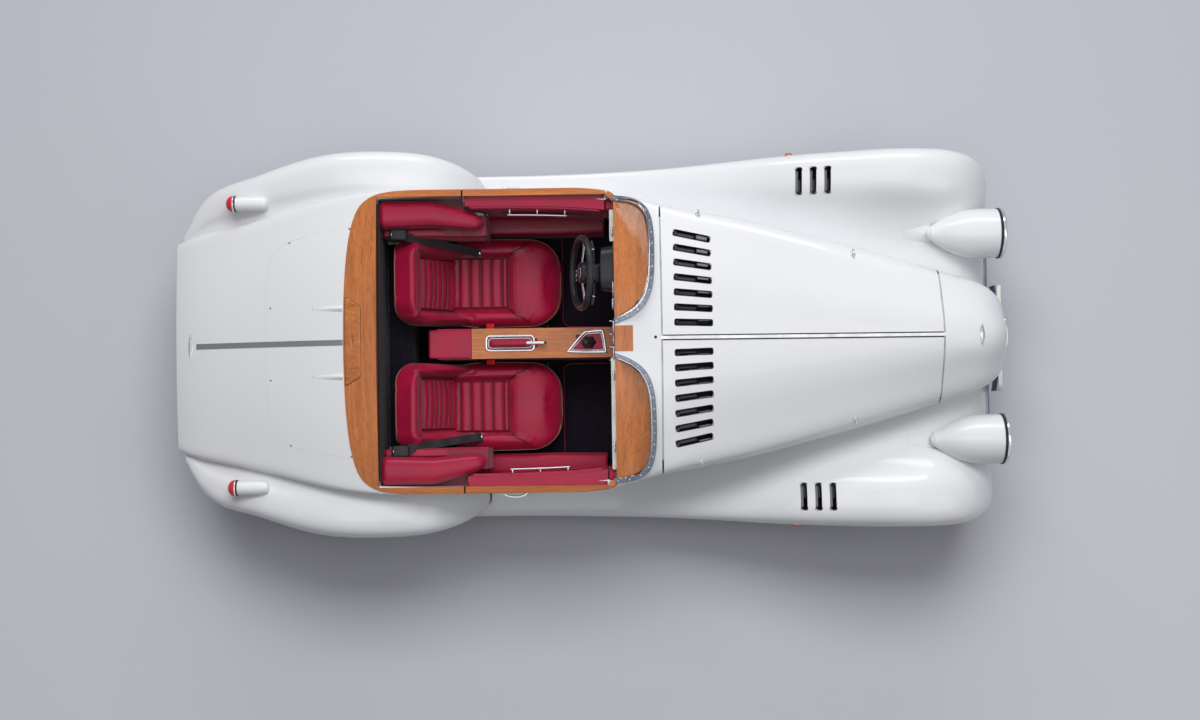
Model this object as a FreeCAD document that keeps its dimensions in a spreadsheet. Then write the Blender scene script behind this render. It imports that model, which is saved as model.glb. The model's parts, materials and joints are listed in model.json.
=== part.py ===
"""Open two-seat roadster: separate sweeping wings, long louvred bonnet, timber-rimmed cockpit.

The frame is +X to the nose, +Y to the car's left, +Z up, in millimetres. The origin lies on the
ground at the middle of the car's length and width. Every panel is cut from one body form, so
neighbouring panels share its surface and differ only by their thickness and shut gaps.
"""

import FreeCAD, Part
import math
import os

import Sketcher
from FreeCAD import Placement, Rotation, Vector

# Driving dimensions: alias, value in millimetres or degrees, what it sets.
DRIVING = (
    ("wheelbase", 2520, "distance between the axles"),
    ("front_overhang", 490, "front axle to the foremost point"),
    ("rear_overhang", 970, "rear axle to the tail"),
    ("track", 1530, "between the tyres' middle planes"),
    ("body_half_width", 703, "half the tub's width at the doors"),
    ("wing_half_width", 916, "half the width over the rear wings"),
    ("front_wing_half_width", 900, "half the width over the front wings"),
    ("scuttle_top", 985, "height of the scuttle's crown, the body's top"),
    ("wing_crest", 800, "height of both wings over their wheels"),
    ("wing_skin", 12, "wall of a wing with its folded edge"),
    ("bonnet_skin", 8, "wall of a bonnet half"),
    ("cowl_skin", 12, "wall of the nose cowl"),
    ("scuttle_wall", 25, "wall of the scuttle"),
    ("body_wall", 32, "painted wall of a door or cabin side"),
    ("trim_thickness", 46, "leather trim panel on a door"),
    ("nose_length", 384, "bonnet's front edge to the foremost point"),
    ("bonnet_length", 1288, "front to rear edge of the bonnet"),
    ("scuttle_length", 250, "bonnet's rear edge to the door's front edge"),
    ("door_length", 660, "door at its rail"),
    ("quarter_length", 399, "door's rear edge to the timber deck"),
    ("deck_depth", 156, "front to back of the timber deck"),
    ("rail_base", 868, "underside of the timber rim"),
    ("rail_width", 32, "width of the timber rim along the doors"),
    ("rail_proud", 3, "how far the timber stands above the body form"),
    ("shut_gap", 8, "gap round doors and bonnet halves"),
    ("seat_gap", 0.3, "assembly gap between curved neighbours"),
    ("wing_seam", 0.9, "seam between a wing and the body"),
    ("cut_over", 40, "overrun of every cutting tool"),
    ("trim_lift", 20, "door trim's lower edge above the door's"),
    ("door_base", 388, "height of the door's lower edge"),
    ("sill_top", 318, "height of the running board"),
    ("sill_base", 190, "underside of the running board"),
    ("bonnet_edge_rear", 600, "height of the bonnet's lower edge at the scuttle"),
    ("bonnet_edge_front", 712, "height of the bonnet's lower edge at the cowl"),
    ("spine_half_width", 7, "half the bright strip along the bonnet"),
    ("spine_gap", 0.5, "running gap beside the strip"),
    ("spine_proud", 5, "strip's height above the bonnet"),
    ("louvre_count", 7, "slots in each bonnet half"),
    ("louvre_pitch", 67, "between slot middles"),
    ("louvre_length", 172, "a slot's length"),
    ("louvre_width", 28, "a slot's width"),
    ("louvre_setback", 55, "bonnet's rear edge to the slots"),
    ("louvre_fan", 12, "turn of the outermost slot in degrees"),
    ("vent_count", 3, "slots in each front wing"),
    ("vent_pitch", 66, "between those slots"),
    ("vent_width", 30, "their width along the car"),
    ("vent_length", 125, "their length across the car"),
    ("vent_setback", 452, "front axle back to the middle slot"),
    ("vent_offset", 745, "car's middle to the slots' middle"),
    ("tyre_radius", 332, "tyre's outer radius"),
    ("tyre_width", 235, "tyre's section width"),
    ("rim_radius", 243, "rim's flange radius"),
    ("rim_wall", 9, "rim barrel's wall"),
    ("hub_radius", 60, "wheel centre's radius"),
    ("hub_depth", 46, "wheel's middle plane in to the hub's back face"),
    ("spoke_count", 12, "spokes of a wheel"),
    ("spoke_width", 26, "a spoke's width"),
    ("spoke_depth", 26, "a spoke's depth"),
    ("spoke_face", 88, "wheel's middle plane out to the spokes' face"),
    ("disc_radius", 165, "brake disc's radius"),
    ("disc_thickness", 22, "brake disc's thickness"),
    ("front_arch_radius", 388, "front wheel opening's radius"),
    ("rear_arch_radius", 372, "rear wheel opening's radius"),
    ("king_offset", 66, "wheel's middle plane in to the steering axis"),
    ("arm_spread", 88, "axle to a wishbone leg on the frame"),
    ("knuckle_half_height", 118, "axle to the knuckle's upper or lower end"),
    ("arm_thickness", 22, "a wishbone's thickness"),
    ("rail_height", 84, "chassis rail's height"),
    ("rail_thickness", 70, "chassis rail's width"),
    ("rail_bottom", 126, "underside of the chassis rails"),
    ("rail_centre", 340, "car's middle to a rail's middle"),
    ("floor_thickness", 12, "floor pan"),
    ("floor_half_width", 622, "half the floor pan's width"),
    ("pod_radius", 118, "headlamp pod's radius"),
    ("pod_length", 405, "headlamp pod's length"),
    ("pod_offset", 486, "car's middle to the headlamp's axis"),
    ("pod_height", 668, "headlamp's axis above the ground"),
    ("pod_setback", 72, "foremost point back to the pod's rim"),
    ("bezel_tube", 8, "headlamp bezel's tube radius"),
    ("bowl_depth", 60, "depth of the lamp bowl"),
    ("lens_thickness", 5, "lamp glass"),
    ("lens_bulge", 26, "headlamp glass ahead of its rim"),
    ("tail_pod_radius", 35, "tail lamp pod's radius"),
    ("tail_pod_length", 150, "tail lamp pod's length"),
    ("tail_pod_offset", 668, "car's middle to the tail lamp's axis"),
    ("tail_pod_height", 716, "tail lamp's axis above the ground"),
    ("tail_pod_setback", 316, "tail back to the lamp's rim"),
    ("tail_dome", 30, "length of the red dome"),
    ("grille_half_width", 118, "half the grille opening's width"),
    ("grille_top", 742, "top of the grille opening"),
    ("grille_base", 322, "foot of the grille opening"),
    ("grille_frame", 14, "width of the grille's bright frame"),
    ("grille_depth", 34, "depth of the grille's bars"),
    ("slat_count", 11, "upright bars of the grille"),
    ("slat_width", 5, "an upright bar's width"),
    ("plate_width", 516, "blank plate across the nose"),
    ("plate_height", 108, "blank plate's height"),
    ("plate_thickness", 10, "blank plate"),
    ("plate_base", 318, "blank plate's lower edge above the ground"),
    ("plate_bow", 22, "how far the plate's ends curve back"),
    ("lip_height", 58, "height of the lower front bar"),
    ("lip_depth", 60, "depth of the lower front bar"),
    ("lip_round", 17, "rounding of its front edges"),
    ("lip_base", 232, "underside of the lower front bar"),
    ("lip_half_width", 560, "half the lower front bar's length"),
    ("dash_edge", 32, "cockpit's front edge ahead of the door's front edge"),
    ("dash_thickness", 18, "instrument panel"),
    ("dash_base", 690, "lower edge of the instrument panel"),
    ("screen_half_span", 296, "half the width of one wind deflector"),
    ("screen_offset", 364, "car's middle to a deflector's middle"),
    ("screen_reach", 180, "deflector's front ahead of the cockpit edge"),
    ("screen_band", 24, "width of the deflector's metal band"),
    ("screen_band_height", 10, "height of that band"),
    ("screen_height", 118, "deflector's height over the scuttle"),
    ("screen_glass", 5, "deflector's clear sheet"),
    ("screen_lean", 16, "how far the deflector's top leans in"),
    ("dash_wood", 20, "timber dash top's thickness"),
    ("centre_wood_half", 58, "half the width of the timber between the deflectors"),
    ("centre_wood_reach", 82, "its length ahead of the cockpit edge"),
    ("console_half_width", 72, "half the centre console's width"),
    ("console_top", 560, "console's upper face"),
    ("console_wood", 18, "timber slab on the console"),
    ("lever_tube", 14, "radius of the handbrake's grip"),
    ("console_length", 700, "console from the dash rearwards"),
    ("armrest_length", 165, "padded box behind the console"),
    ("seat_offset", 300, "car's middle to a seat's middle"),
    ("seat_width", 424, "a seat cushion's width"),
    ("cushion_front", 254, "cockpit edge back to the seat cushion's front"),
    ("cushion_length", 537, "seat cushion's length"),
    ("cushion_base", 292, "seat cushion's underside"),
    ("cushion_thickness", 150, "seat cushion's thickness"),
    ("back_height", 490, "seat back's length along its slope"),
    ("back_width", 398, "seat back's width, flush with the cushion at the console"),
    ("back_thickness", 130, "seat back's thickness"),
    ("back_angle", 32, "seat back's lean in degrees"),
    ("runner_width", 40, "a seat runner's width"),
    ("shelf_height", 505, "luggage shelf over the rear axle"),
    ("shelf_length", 120, "shelf from the timber deck forwards"),
    ("arch_inner", 516, "car's middle to the wheel boxes in the cabin"),
    ("arch_box_top", 735, "top of the wheel boxes in the cabin"),
    ("quarter_pad", 22, "thickness of the quarter trims' faces"),
    ("quarter_roll_width", 132, "width of their padded rolls"),
    ("quarter_roll_top", 846, "top of those rolls"),
    ("quarter_roll_round", 34, "rounding of those rolls"),
    ("axle_bay_top", 475, "roof of the rear axle bay"),
    ("wheel_rim_radius", 163, "steering wheel's rim radius"),
    ("wheel_rim_tube", 14, "steering wheel's rim tube radius"),
    ("wheel_boss", 52, "steering wheel's boss radius"),
    ("column_angle", 15, "steering column's slope in degrees"),
    ("column_offset", 310, "car's middle to the steering column"),
    ("column_radius", 26, "steering column's radius"),
    ("column_setback", 150, "cockpit edge back to the steering wheel's middle"),
    ("column_height", 842, "steering wheel's middle above the ground"),
    ("engine_length", 760, "engine block"),
    ("engine_width", 330, "engine block"),
    ("engine_height", 500, "engine block"),
    ("engine_base", 250, "engine block's underside"),
    ("engine_setback", 300, "front axle back to the engine's front"),
    ("radiator_setback", 69, "bonnet's front edge to the radiator"),
    ("radiator_depth", 49, "radiator core"),
    ("pipe_radius", 30, "exhaust pipe"),
    ("silencer_length", 360, "exhaust silencer"),
    ("silencer_width", 520, "exhaust silencer"),
    ("silencer_height", 96, "exhaust silencer"),
    ("silencer_base", 112, "exhaust silencer's underside"),
    ("diff_length", 220, "differential housing"),
    ("diff_width", 260, "differential housing"),
    ("diff_height", 230, "differential housing"),
    ("shaft_radius", 17, "drive shaft"),
    ("belt_width", 46, "seat belt webbing"),
    ("belt_thickness", 3, "seat belt webbing"),
    ("deck_panel_half_width", 500, "half the width of the screwed tail panel"),
    ("deck_panel_length", 372, "length of that panel"),
    ("deck_panel_depth", 9, "thickness of that panel"),
)

# Derived dimensions: alias, formula over the aliases above.
DERIVED = (
    ("overall_length", "=front_overhang + wheelbase + rear_overhang"),
    ("nose_x", "=overall_length / 2"),
    ("tail_x", "=0 - overall_length / 2"),
    ("front_axle_x", "=nose_x - front_overhang"),
    ("rear_axle_x", "=tail_x + rear_overhang"),
    ("axle_height", "=tyre_radius"),
    ("wheel_y", "=track / 2"),
    ("bonnet_front_x", "=nose_x - nose_length"),
    ("bonnet_rear_x", "=bonnet_front_x - bonnet_length"),
    ("door_front_x", "=bonnet_rear_x - scuttle_length"),
    ("door_rear_x", "=door_front_x - door_length"),
    ("deck_front_x", "=door_rear_x - quarter_length"),
    ("deck_rear_x", "=deck_front_x - deck_depth"),
    ("dash_x", "=door_front_x + dash_edge"),
    ("rail_top", "=rail_bottom + rail_height"),
    ("floor_top", "=rail_top + floor_thickness"),
    ("tower_top", "=axle_height + knuckle_half_height + 2.5 * arm_thickness"),
    ("king_y", "=wheel_y - king_offset"),
    ("rail_inner_y", "=rail_centre - rail_thickness / 2"),
    ("rail_outer_y", "=rail_centre + rail_thickness / 2"),
    ("pod_rim_x", "=nose_x - pod_setback"),
    ("tail_pod_rim_x", "=tail_x + tail_pod_setback"),
    ("shelf_front_x", "=deck_front_x + shelf_length"),
    ("cushion_front_x", "=dash_x - cushion_front"),
    ("wheel_centre_x", "=dash_x - column_setback"),
    ("rim_inner", "=rim_radius - rim_wall * 2"),
    ("rim_half_width", "=tyre_width / 2 - rim_wall"),
    ("drop_radius", "=rim_radius - rim_wall * 3"),
    ("drop_inner", "=drop_radius - rim_wall"),
    ("drop_edge", "=rim_half_width - rim_wall * 3"),
    ("tyre_seat", "=rim_radius - rim_wall"),
    ("tyre_half_width", "=tyre_width / 2"),
    ("tyre_shoulder", "=tyre_radius - rim_wall * 1.6"),
    ("tread_half_width", "=tyre_half_width - rim_wall * 1.6"),
    ("tyre_seat_rim", "=tyre_seat - seat_gap"),
    ("drop_edge_in", "=drop_edge - rim_wall * 2"),
    ("disc_back", "=hub_depth - arm_thickness * 0.4"),
    ("disc_face", "=disc_back - disc_thickness"),
    ("spoke_half", "=spoke_width / 2"),
    ("spoke_start", "=hub_radius * 0.7"),
    ("spoke_end", "=rim_radius - rim_wall * 1.5"),
)

doc = FreeCAD.newDocument("roadster")
sheet = doc.addObject("Spreadsheet::Sheet", "Sizes")
pieces = []


def fill_sheet():
    """Writes every driving and derived dimension to the sheet under its alias."""
    for row, (alias, value, note) in enumerate(DRIVING, 1):
        sheet.set(f"A{row}", note)
        sheet.set(f"B{row}", str(value))
        sheet.setAlias(f"B{row}", alias)
    for row, (alias, formula) in enumerate(DERIVED, len(DRIVING) + 1):
        sheet.set(f"A{row}", "derived")
        sheet.set(f"B{row}", formula)
        sheet.setAlias(f"B{row}", alias)
    doc.recompute()


fill_sheet()


def size(alias):
    """The sheet's value of one alias, as a plain number; a leading minus turns its sign."""
    if alias == "0":
        return 0.0
    if alias.startswith("-"):
        return -size(alias[1:])
    return float(getattr(sheet, alias))


S = {alias: size(alias) for alias, *rest in DRIVING + DERIVED}


def keep(obj, label):
    """Names an object as a sub-part, to be written as its own file."""
    obj.Label = label
    pieces.append(obj)
    return obj


def feature(label, shape):
    """A sub-part whose shape is computed from the sheet's sizes."""
    obj = doc.addObject("Part::Feature", label)
    solids = shape.Solids
    obj.Shape = solids[0] if len(solids) == 1 else Part.makeCompound(solids)
    return keep(obj, label)


def both(shape):
    """The shape and its mirror image across the car's middle plane."""
    return shape.fuse(mirrored(shape))


def mirrored(shape):
    return shape.mirror(Vector(0, 0, 0), Vector(0, 1, 0))


def block(x0, x1, y0, y1, z0, z1):
    """A box between two corners."""
    return Part.makeBox(x1 - x0, y1 - y0, z1 - z0, Vector(x0, y0, z0))


def prism(points, axis, start, length):
    """A straight prism over a closed outline of points, along one axis."""
    face = Part.Face(Part.makePolygon(points + [points[0]]))
    lift = {"x": Vector(start, 0, 0), "y": Vector(0, start, 0), "z": Vector(0, 0, start)}[axis]
    run = {"x": Vector(length, 0, 0), "y": Vector(0, length, 0), "z": Vector(0, 0, length)}[axis]
    face.translate(lift)
    return face.extrude(run)


def rod(start, end, radius):
    """A round bar between two points."""
    run = end - start
    return Part.makeCylinder(radius, run.Length, start, run)


def pole_curve(points):
    """A clamped cubic curve on hand-chosen poles."""
    curve = Part.BSplineCurve()
    curve.buildFromPoles(points, False, 3)
    return curve.toShape()


# The body form, from the tail to the nose. A station share runs from -1 at the tail through 0 at
# the rear axle and 1 at the front axle to 2 at the foremost point.
def along(share):
    """Where a station share lies along the car."""
    if share < 0:
        return S["rear_axle_x"] + share * S["rear_overhang"]
    if share > 1:
        return S["front_axle_x"] + (share - 1) * S["front_overhang"]
    return S["rear_axle_x"] + share * S["wheelbase"]


# Station, half width, crown, shoulder, corner and underside, as shares of the body's own sizes.
BODY_SHARES = (
    (-1.000, 0.712, 0.600, 0.568, 0.12, 0.300),
    (-0.948, 0.736, 0.630, 0.597, 0.12, 0.285),
    (-0.753, 0.793, 0.716, 0.676, 0.12, 0.258),
    (-0.443, 0.885, 0.832, 0.782, 0.11, 0.254),
    (-0.131, 0.972, 0.919, 0.866, 0.07, 0.240),
    (0.012, 0.992, 0.947, 0.890, 0.04, 0.2255),
    (0.170, 1.000, 0.959, 0.9015, 0.022, 0.2255),
    (0.306, 0.996, 0.970, 0.9036, 0.022, 0.2255),
    (0.432, 0.974, 0.986, 0.9070, 0.035, 0.2255),
    (0.531, 0.893, 1.000, 0.8930, 0.14, 0.2255),
    (0.663, 0.808, 0.9856, 0.8730, 0.23, 0.2255),
    (0.790, 0.702, 0.9717, 0.8580, 0.285, 0.240),
    (0.921, 0.578, 0.9574, 0.8430, 0.35, 0.260),
    (1.216, 0.450, 0.9440, 0.8220, 0.41, 0.290),
    (1.408, 0.410, 0.9350, 0.8080, 0.42, 0.300),
    (1.612, 0.366, 0.9080, 0.7830, 0.42, 0.300),
    (1.755, 0.318, 0.8680, 0.7450, 0.42, 0.300),
    (1.857, 0.262, 0.8080, 0.6900, 0.42, 0.300),
    (1.918, 0.196, 0.7080, 0.6000, 0.42, 0.300),
)
FLANK_SHARE = 0.5
CROWN_SHARE = 0.55
CROWN_LIFT_SHARE = 0.82


def body_section(x, half, crown, shoulder, corner, base):
    """One closed section: upright flanks, rounded shoulders and a crowned top on a flat base."""
    drop = crown - shoulder
    flank = base + FLANK_SHARE * (shoulder - corner - base)
    side = (
        (half, base),
        (half, flank),
        (half, shoulder - corner),
        (half, shoulder),
        (half - corner, shoulder + drop * corner / half),
        (CROWN_SHARE * (half - corner), shoulder + CROWN_LIFT_SHARE * drop),
    )
    left = [Vector(x, y, z) for y, z in side]
    right = [Vector(x, -y, z) for y, z in reversed(side)]
    over = pole_curve(left + [Vector(x, 0, crown)] + right)
    under = Part.makeLine(right[-1], left[0])
    return Part.Wire([over, under])


forms = {}


def body_form(offset):
    """The whole body form as a solid, its surface moved by an offset and its base always lowered."""
    if offset not in forms:
        wires = []
        for place, (share, wide, crown, shoulder, corner, base) in enumerate(BODY_SHARES):
            x = along(share)
            if place == 0:
                x -= offset
            if place == len(BODY_SHARES) - 1:
                x += offset
            half = wide * S["body_half_width"]
            wires.append(
                body_section(
                    x,
                    half + offset,
                    crown * S["scuttle_top"] + offset,
                    shoulder * S["scuttle_top"] + offset,
                    corner * (half + offset),
                    base * S["scuttle_top"] - abs(offset),
                )
            )
        forms[offset] = Part.makeLoft(wires, True, False, False, 5)
    return forms[offset]


def body_layer(outer, inner, within):
    """The layer of the body form between two offsets, inside another shape."""
    return within.common(body_form(outer)).cut(body_form(inner))


def plan_form(offset):
    """Upright prism over the body's plan outline, its sides moved outwards by an offset."""
    spots = [(along(share), wide * S["body_half_width"] + offset) for share, wide, *rest in BODY_SHARES]
    left = pole_curve([Vector(x, y, 0) for x, y in spots])
    right = pole_curve([Vector(x, -y, 0) for x, y in spots])
    ends = [
        Part.makeLine(Vector(x, y, 0), Vector(x, -y, 0)) for x, y in (spots[0], spots[-1])
    ]
    face = Part.Face(Part.Wire(Part.__sortEdges__([left, ends[1], right, ends[0]])))
    return face.extrude(Vector(0, 0, S["scuttle_top"] + S["cut_over"]))


def half_box(x0, x1, z0=0.0, z1=None):
    """A box over the car's left half, between two stations."""
    top = S["scuttle_top"] + S["cut_over"] if z1 is None else z1
    return block(x0, x1, 0, S["wing_half_width"] + S["cut_over"], z0, top)


def full_box(x0, x1, z0=0.0, z1=None):
    """A box over the car's whole width, between two stations."""
    top = S["scuttle_top"] + S["cut_over"] if z1 is None else z1
    wide = S["wing_half_width"] + S["cut_over"]
    return block(x0, x1, -wide, wide, z0, top)


# Wings. A wing is a thin skin lofted over sections that run from its lower outer lip over the
# crest to its inner edge. Behind the wheel the sections stand upright; ahead of the front axle,
# and ahead of the rear one, they fan round the axle like a mudguard.
class Fan:
    """A section plane: upright at a station, or turned forwards about an axle by an angle."""

    def __init__(self, x, angle=0.0):
        self.turned = angle != 0.0
        self.x = x
        self.base = S["axle_height"] if self.turned else 0.0
        self.up = (math.sin(math.radians(angle)), math.cos(math.radians(angle)))

    def point(self, y, height):
        return Vector(self.x + self.up[0] * height, y, self.base + self.up[1] * height)


def moved_outwards(profile, distance):
    """The profile's poles moved along their own normals, to the side that faces out."""
    moved = []
    last = len(profile) - 1
    for i, (y, h) in enumerate(profile):
        before, after = profile[max(i - 1, 0)], profile[min(i + 1, last)]
        dy, dh = after[0] - before[0], after[1] - before[1]
        length = math.hypot(dy, dh)
        moved.append((y + distance * dh / length, h - distance * dy / length))
    return moved


def wing_skin(sections, outer, inner):
    """The skin between two offsets of the sections."""
    wires = []
    for fan, profile in sections:
        over = [fan.point(y, h) for y, h in moved_outwards(profile, outer)]
        under = [fan.point(y, h) for y, h in reversed(moved_outwards(profile, inner))]
        wires.append(
            Part.Wire(
                [
                    pole_curve(over),
                    Part.makeLine(over[-1], under[0]),
                    pole_curve(under),
                    Part.makeLine(under[-1], over[0]),
                ]
            )
        )
    return Part.makeLoft(wires, True, False, False, 5)


def wing_bulk(sections, outer):
    """The wing filled in behind its skin, which cuts what meets the wing from outside."""
    wires = []
    for fan, profile in sections:
        over = [fan.point(y, h) for y, h in moved_outwards(profile, outer)]
        wires.append(Part.Wire([pole_curve(over), Part.makeLine(over[-1], over[0])]))
    return Part.makeLoft(wires, True, False, False, 5)


# How far the shoulder's roll reaches, its side poles' heights and its corner and fall.
ROLL_SHARE = 0.45
SIDE_SHARES = (0.35, 0.72)
ROLL_CORNER_SHARE = 0.25
ROLL_FALL_SHARE = 0.25


def wing_profile(outer, lip, crest_y, crest, valley_y, valley, inner_y, inner):
    """Poles of one section: lip, upright side, rolled shoulder, crest, valley and inner edge."""
    roll = (outer - crest_y) * ROLL_SHARE
    low, high = (lip + (crest - lip) * share for share in SIDE_SHARES)
    return (
        (outer, lip),
        (outer, low),
        (outer, high),
        (outer - roll * ROLL_CORNER_SHARE, crest),
        (crest_y, crest),
        (crest_y - roll, crest - (crest - valley) * ROLL_FALL_SHARE),
        (valley_y, valley),
        (inner_y, inner),
    )


# Front wing: station share, then outer width, lip, crest width, crest, valley width, valley, inner
# width and inner edge, widths as shares of the wing's half width, heights as shares of its crest.
FRONT_TAIL_SHARES = (
    (0.150, 0.934, 0.2375, 0.880, 0.3975, 0.80, 0.3940, 0.70, 0.3925),
    (0.250, 0.938, 0.2375, 0.880, 0.3990, 0.80, 0.3960, 0.70, 0.3945),
    (0.370, 0.943, 0.2375, 0.880, 0.4100, 0.80, 0.4060, 0.70, 0.4040),
    (0.460, 0.948, 0.2375, 0.878, 0.4550, 0.79, 0.4450, 0.68, 0.4400),
    (0.560, 0.955, 0.2375, 0.872, 0.5650, 0.75, 0.5350, 0.63, 0.5200),
    (0.680, 0.973, 0.2375, 0.850, 0.7200, 0.70, 0.6550, 0.56, 0.6300),
    (0.800, 0.990, 0.2500, 0.828, 0.8700, 0.66, 0.7650, 0.47, 0.7200),
    (0.900, 0.998, 0.3000, 0.815, 0.9550, 0.63, 0.8150, 0.38, 0.7500),
    (1.000, 1.000, 0.4150, 0.806, 1.0000, 0.61, 0.8300, 0.32, 0.7600),
)
# The fan ahead of the axle: angle, widths as above, lip, crest, valley and inner radii as shares
# of the crest's height over the axle.
FRONT_FAN_SHARES = (
    (24, 0.998, 0.03, 0.802, 0.995, 0.60, 0.765, 0.28, 0.640),
    (48, 0.982, 0.06, 0.798, 0.975, 0.60, 0.850, 0.25, 0.790),
    (68, 0.945, 0.08, 0.785, 0.950, 0.60, 0.885, 0.20, 0.870),
    (86, 0.895, 0.10, 0.765, 0.925, 0.60, 0.890, 0.17, 0.890),
    (104, 0.855, 0.12, 0.750, 0.900, 0.60, 0.880, 0.15, 0.880),
)
# Rear wing: the fan ahead of the axle, from its foot up, then the stations back to the tail.
REAR_FAN_SHARES = (
    (106, 0.850, 0.12, 0.800, 1.085, 0.74, 1.083, 0.68, 1.080),
    (90, 0.872, 0.10, 0.815, 1.075, 0.75, 1.065, 0.68, 1.058),
    (70, 0.925, 0.08, 0.835, 1.055, 0.76, 1.035, 0.68, 1.020),
    (48, 0.972, 0.06, 0.850, 1.030, 0.765, 1.000, 0.68, 0.980),
    (24, 0.995, 0.03, 0.858, 1.010, 0.770, 0.975, 0.68, 0.950),
)
REAR_TAIL_SHARES = (
    (0.000, 1.000, 0.4150, 0.858, 1.0000, 0.770, 0.970, 0.68, 0.950),
    (-0.230, 0.990, 0.3400, 0.845, 0.9880, 0.755, 0.948, 0.64, 0.925),
    (-0.480, 0.928, 0.3100, 0.800, 0.9250, 0.710, 0.880, 0.60, 0.855),
    (-0.680, 0.868, 0.3200, 0.752, 0.8450, 0.670, 0.800, 0.57, 0.775),
    (-0.830, 0.808, 0.3400, 0.700, 0.7680, 0.630, 0.730, 0.54, 0.710),
    (-0.910, 0.722, 0.3600, 0.640, 0.7200, 0.590, 0.690, 0.52, 0.675),
    (-0.970, 0.610, 0.3800, 0.575, 0.6750, 0.545, 0.655, 0.50, 0.645),
)


def upright_sections(rows, half_width):
    crest = S["wing_crest"]
    for share, outer, lip, crest_y, top, valley_y, valley, inner_y, inner in rows:
        yield (
            Fan(along(share)),
            wing_profile(
                outer * half_width,
                lip * crest,
                crest_y * half_width,
                top * crest,
                valley_y * half_width,
                valley * crest,
                inner_y * half_width,
                inner * crest,
            ),
        )


def fanned_sections(rows, half_width, axle_x):
    reach = S["wing_crest"] - S["axle_height"]
    for angle, outer, lip, crest_y, top, valley_y, valley, inner_y, inner in rows:
        yield (
            Fan(axle_x, angle),
            wing_profile(
                outer * half_width,
                lip * reach,
                crest_y * half_width,
                top * reach,
                valley_y * half_width,
                valley * reach,
                inner_y * half_width,
                inner * reach,
            ),
        )


def arch_tool(axle_x, radius, inner_y):
    """A cylinder that opens the wheel arch, from a given width outwards."""
    reach = S["wing_half_width"] + S["cut_over"] - inner_y
    centre = Vector(axle_x, inner_y, S["axle_height"])
    return Part.makeCylinder(radius, reach, centre, Vector(0, 1, 0))


def slot(length, width, depth, centre, turn=0.0):
    """An upright slot with round ends, its length along X before it is turned."""
    straight = length - width
    half = width / 2
    shape = Part.makeBox(straight, width, depth, Vector(-straight / 2, -half, -depth / 2))
    for end in (-1, 1):
        shape = shape.fuse(Part.makeCylinder(half, depth, Vector(end * straight / 2, 0, -depth / 2)))
    shape = shape.removeSplitter()
    shape.Placement = Placement(centre, Rotation(Vector(0, 0, 1), turn))
    return shape


def revolved_along_x(points, origin):
    """A solid turned about a line along X: points are distance ahead and radius, on poles."""
    curve = pole_curve([Vector(x, 0, r) for x, r in points])
    first, last = points[0], points[-1]
    edges = [curve]
    if last[1] > 0:
        edges.append(Part.makeLine(Vector(last[0], 0, last[1]), Vector(last[0], 0, 0)))
    if first[1] > 0:
        edges.insert(0, Part.makeLine(Vector(first[0], 0, 0), Vector(first[0], 0, first[1])))
    edges.append(Part.makeLine(Vector(last[0], 0, 0), Vector(first[0], 0, 0)))
    solid = Part.Face(Part.Wire(edges)).revolve(Vector(0, 0, 0), Vector(1, 0, 0), 360)
    solid = Part.makeSolid(solid) if solid.ShapeType == "Shell" else solid
    solid.translate(origin)
    return solid


# Length from the tip and radius of the lamp pods; depth from the rim and radius of the bowl.
POD_SHARES = ((0.0, 0.0), (0.26, 0.42), (0.50, 0.88), (0.72, 1.0), (0.86, 1.0), (1.0, 0.985))
TAIL_POD_SHARES = ((0.0, 0.0), (0.0, 0.64), (0.13, 0.98), (0.50, 1.02), (0.80, 1.0), (1.0, 0.96))
BOWL_SHARES = ((1.0, 0.0), (1.0, 0.6), (0.4, 1.0))
MOUTH_SHARE = 0.35


def headlamp_pod():
    """A bullet with its open end ahead and a bowl for the lamp."""
    length, radius = S["pod_length"], S["pod_radius"]
    rim = S["pod_rim_x"]
    shell = revolved_along_x(
        [((u - 1) * length, r * radius) for u, r in POD_SHARES],
        Vector(rim, S["pod_offset"], S["pod_height"]),
    )
    inner = radius - 2 * S["bezel_tube"]
    bowl = revolved_along_x(
        [(-S["bowl_depth"] * u, inner * r) for u, r in BOWL_SHARES] + [(S["cut_over"], inner)],
        Vector(rim, S["pod_offset"], S["pod_height"]),
    )
    start = Vector(rim - S["bowl_depth"] * MOUTH_SHARE, S["pod_offset"], S["pod_height"])
    mouth = Part.makeCylinder(inner, S["cut_over"], start, Vector(1, 0, 0))
    return shell.cut(bowl).cut(mouth)


def tail_lamp_pod():
    """A small blunt bullet that points forwards, its flat end to the rear."""
    length, radius = S["tail_pod_length"], S["tail_pod_radius"]
    return revolved_along_x(
        [((1 - u) * length, r * radius) for u, r in reversed(TAIL_POD_SHARES)],
        Vector(S["tail_pod_rim_x"], S["tail_pod_offset"], S["tail_pod_height"]),
    )


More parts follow.
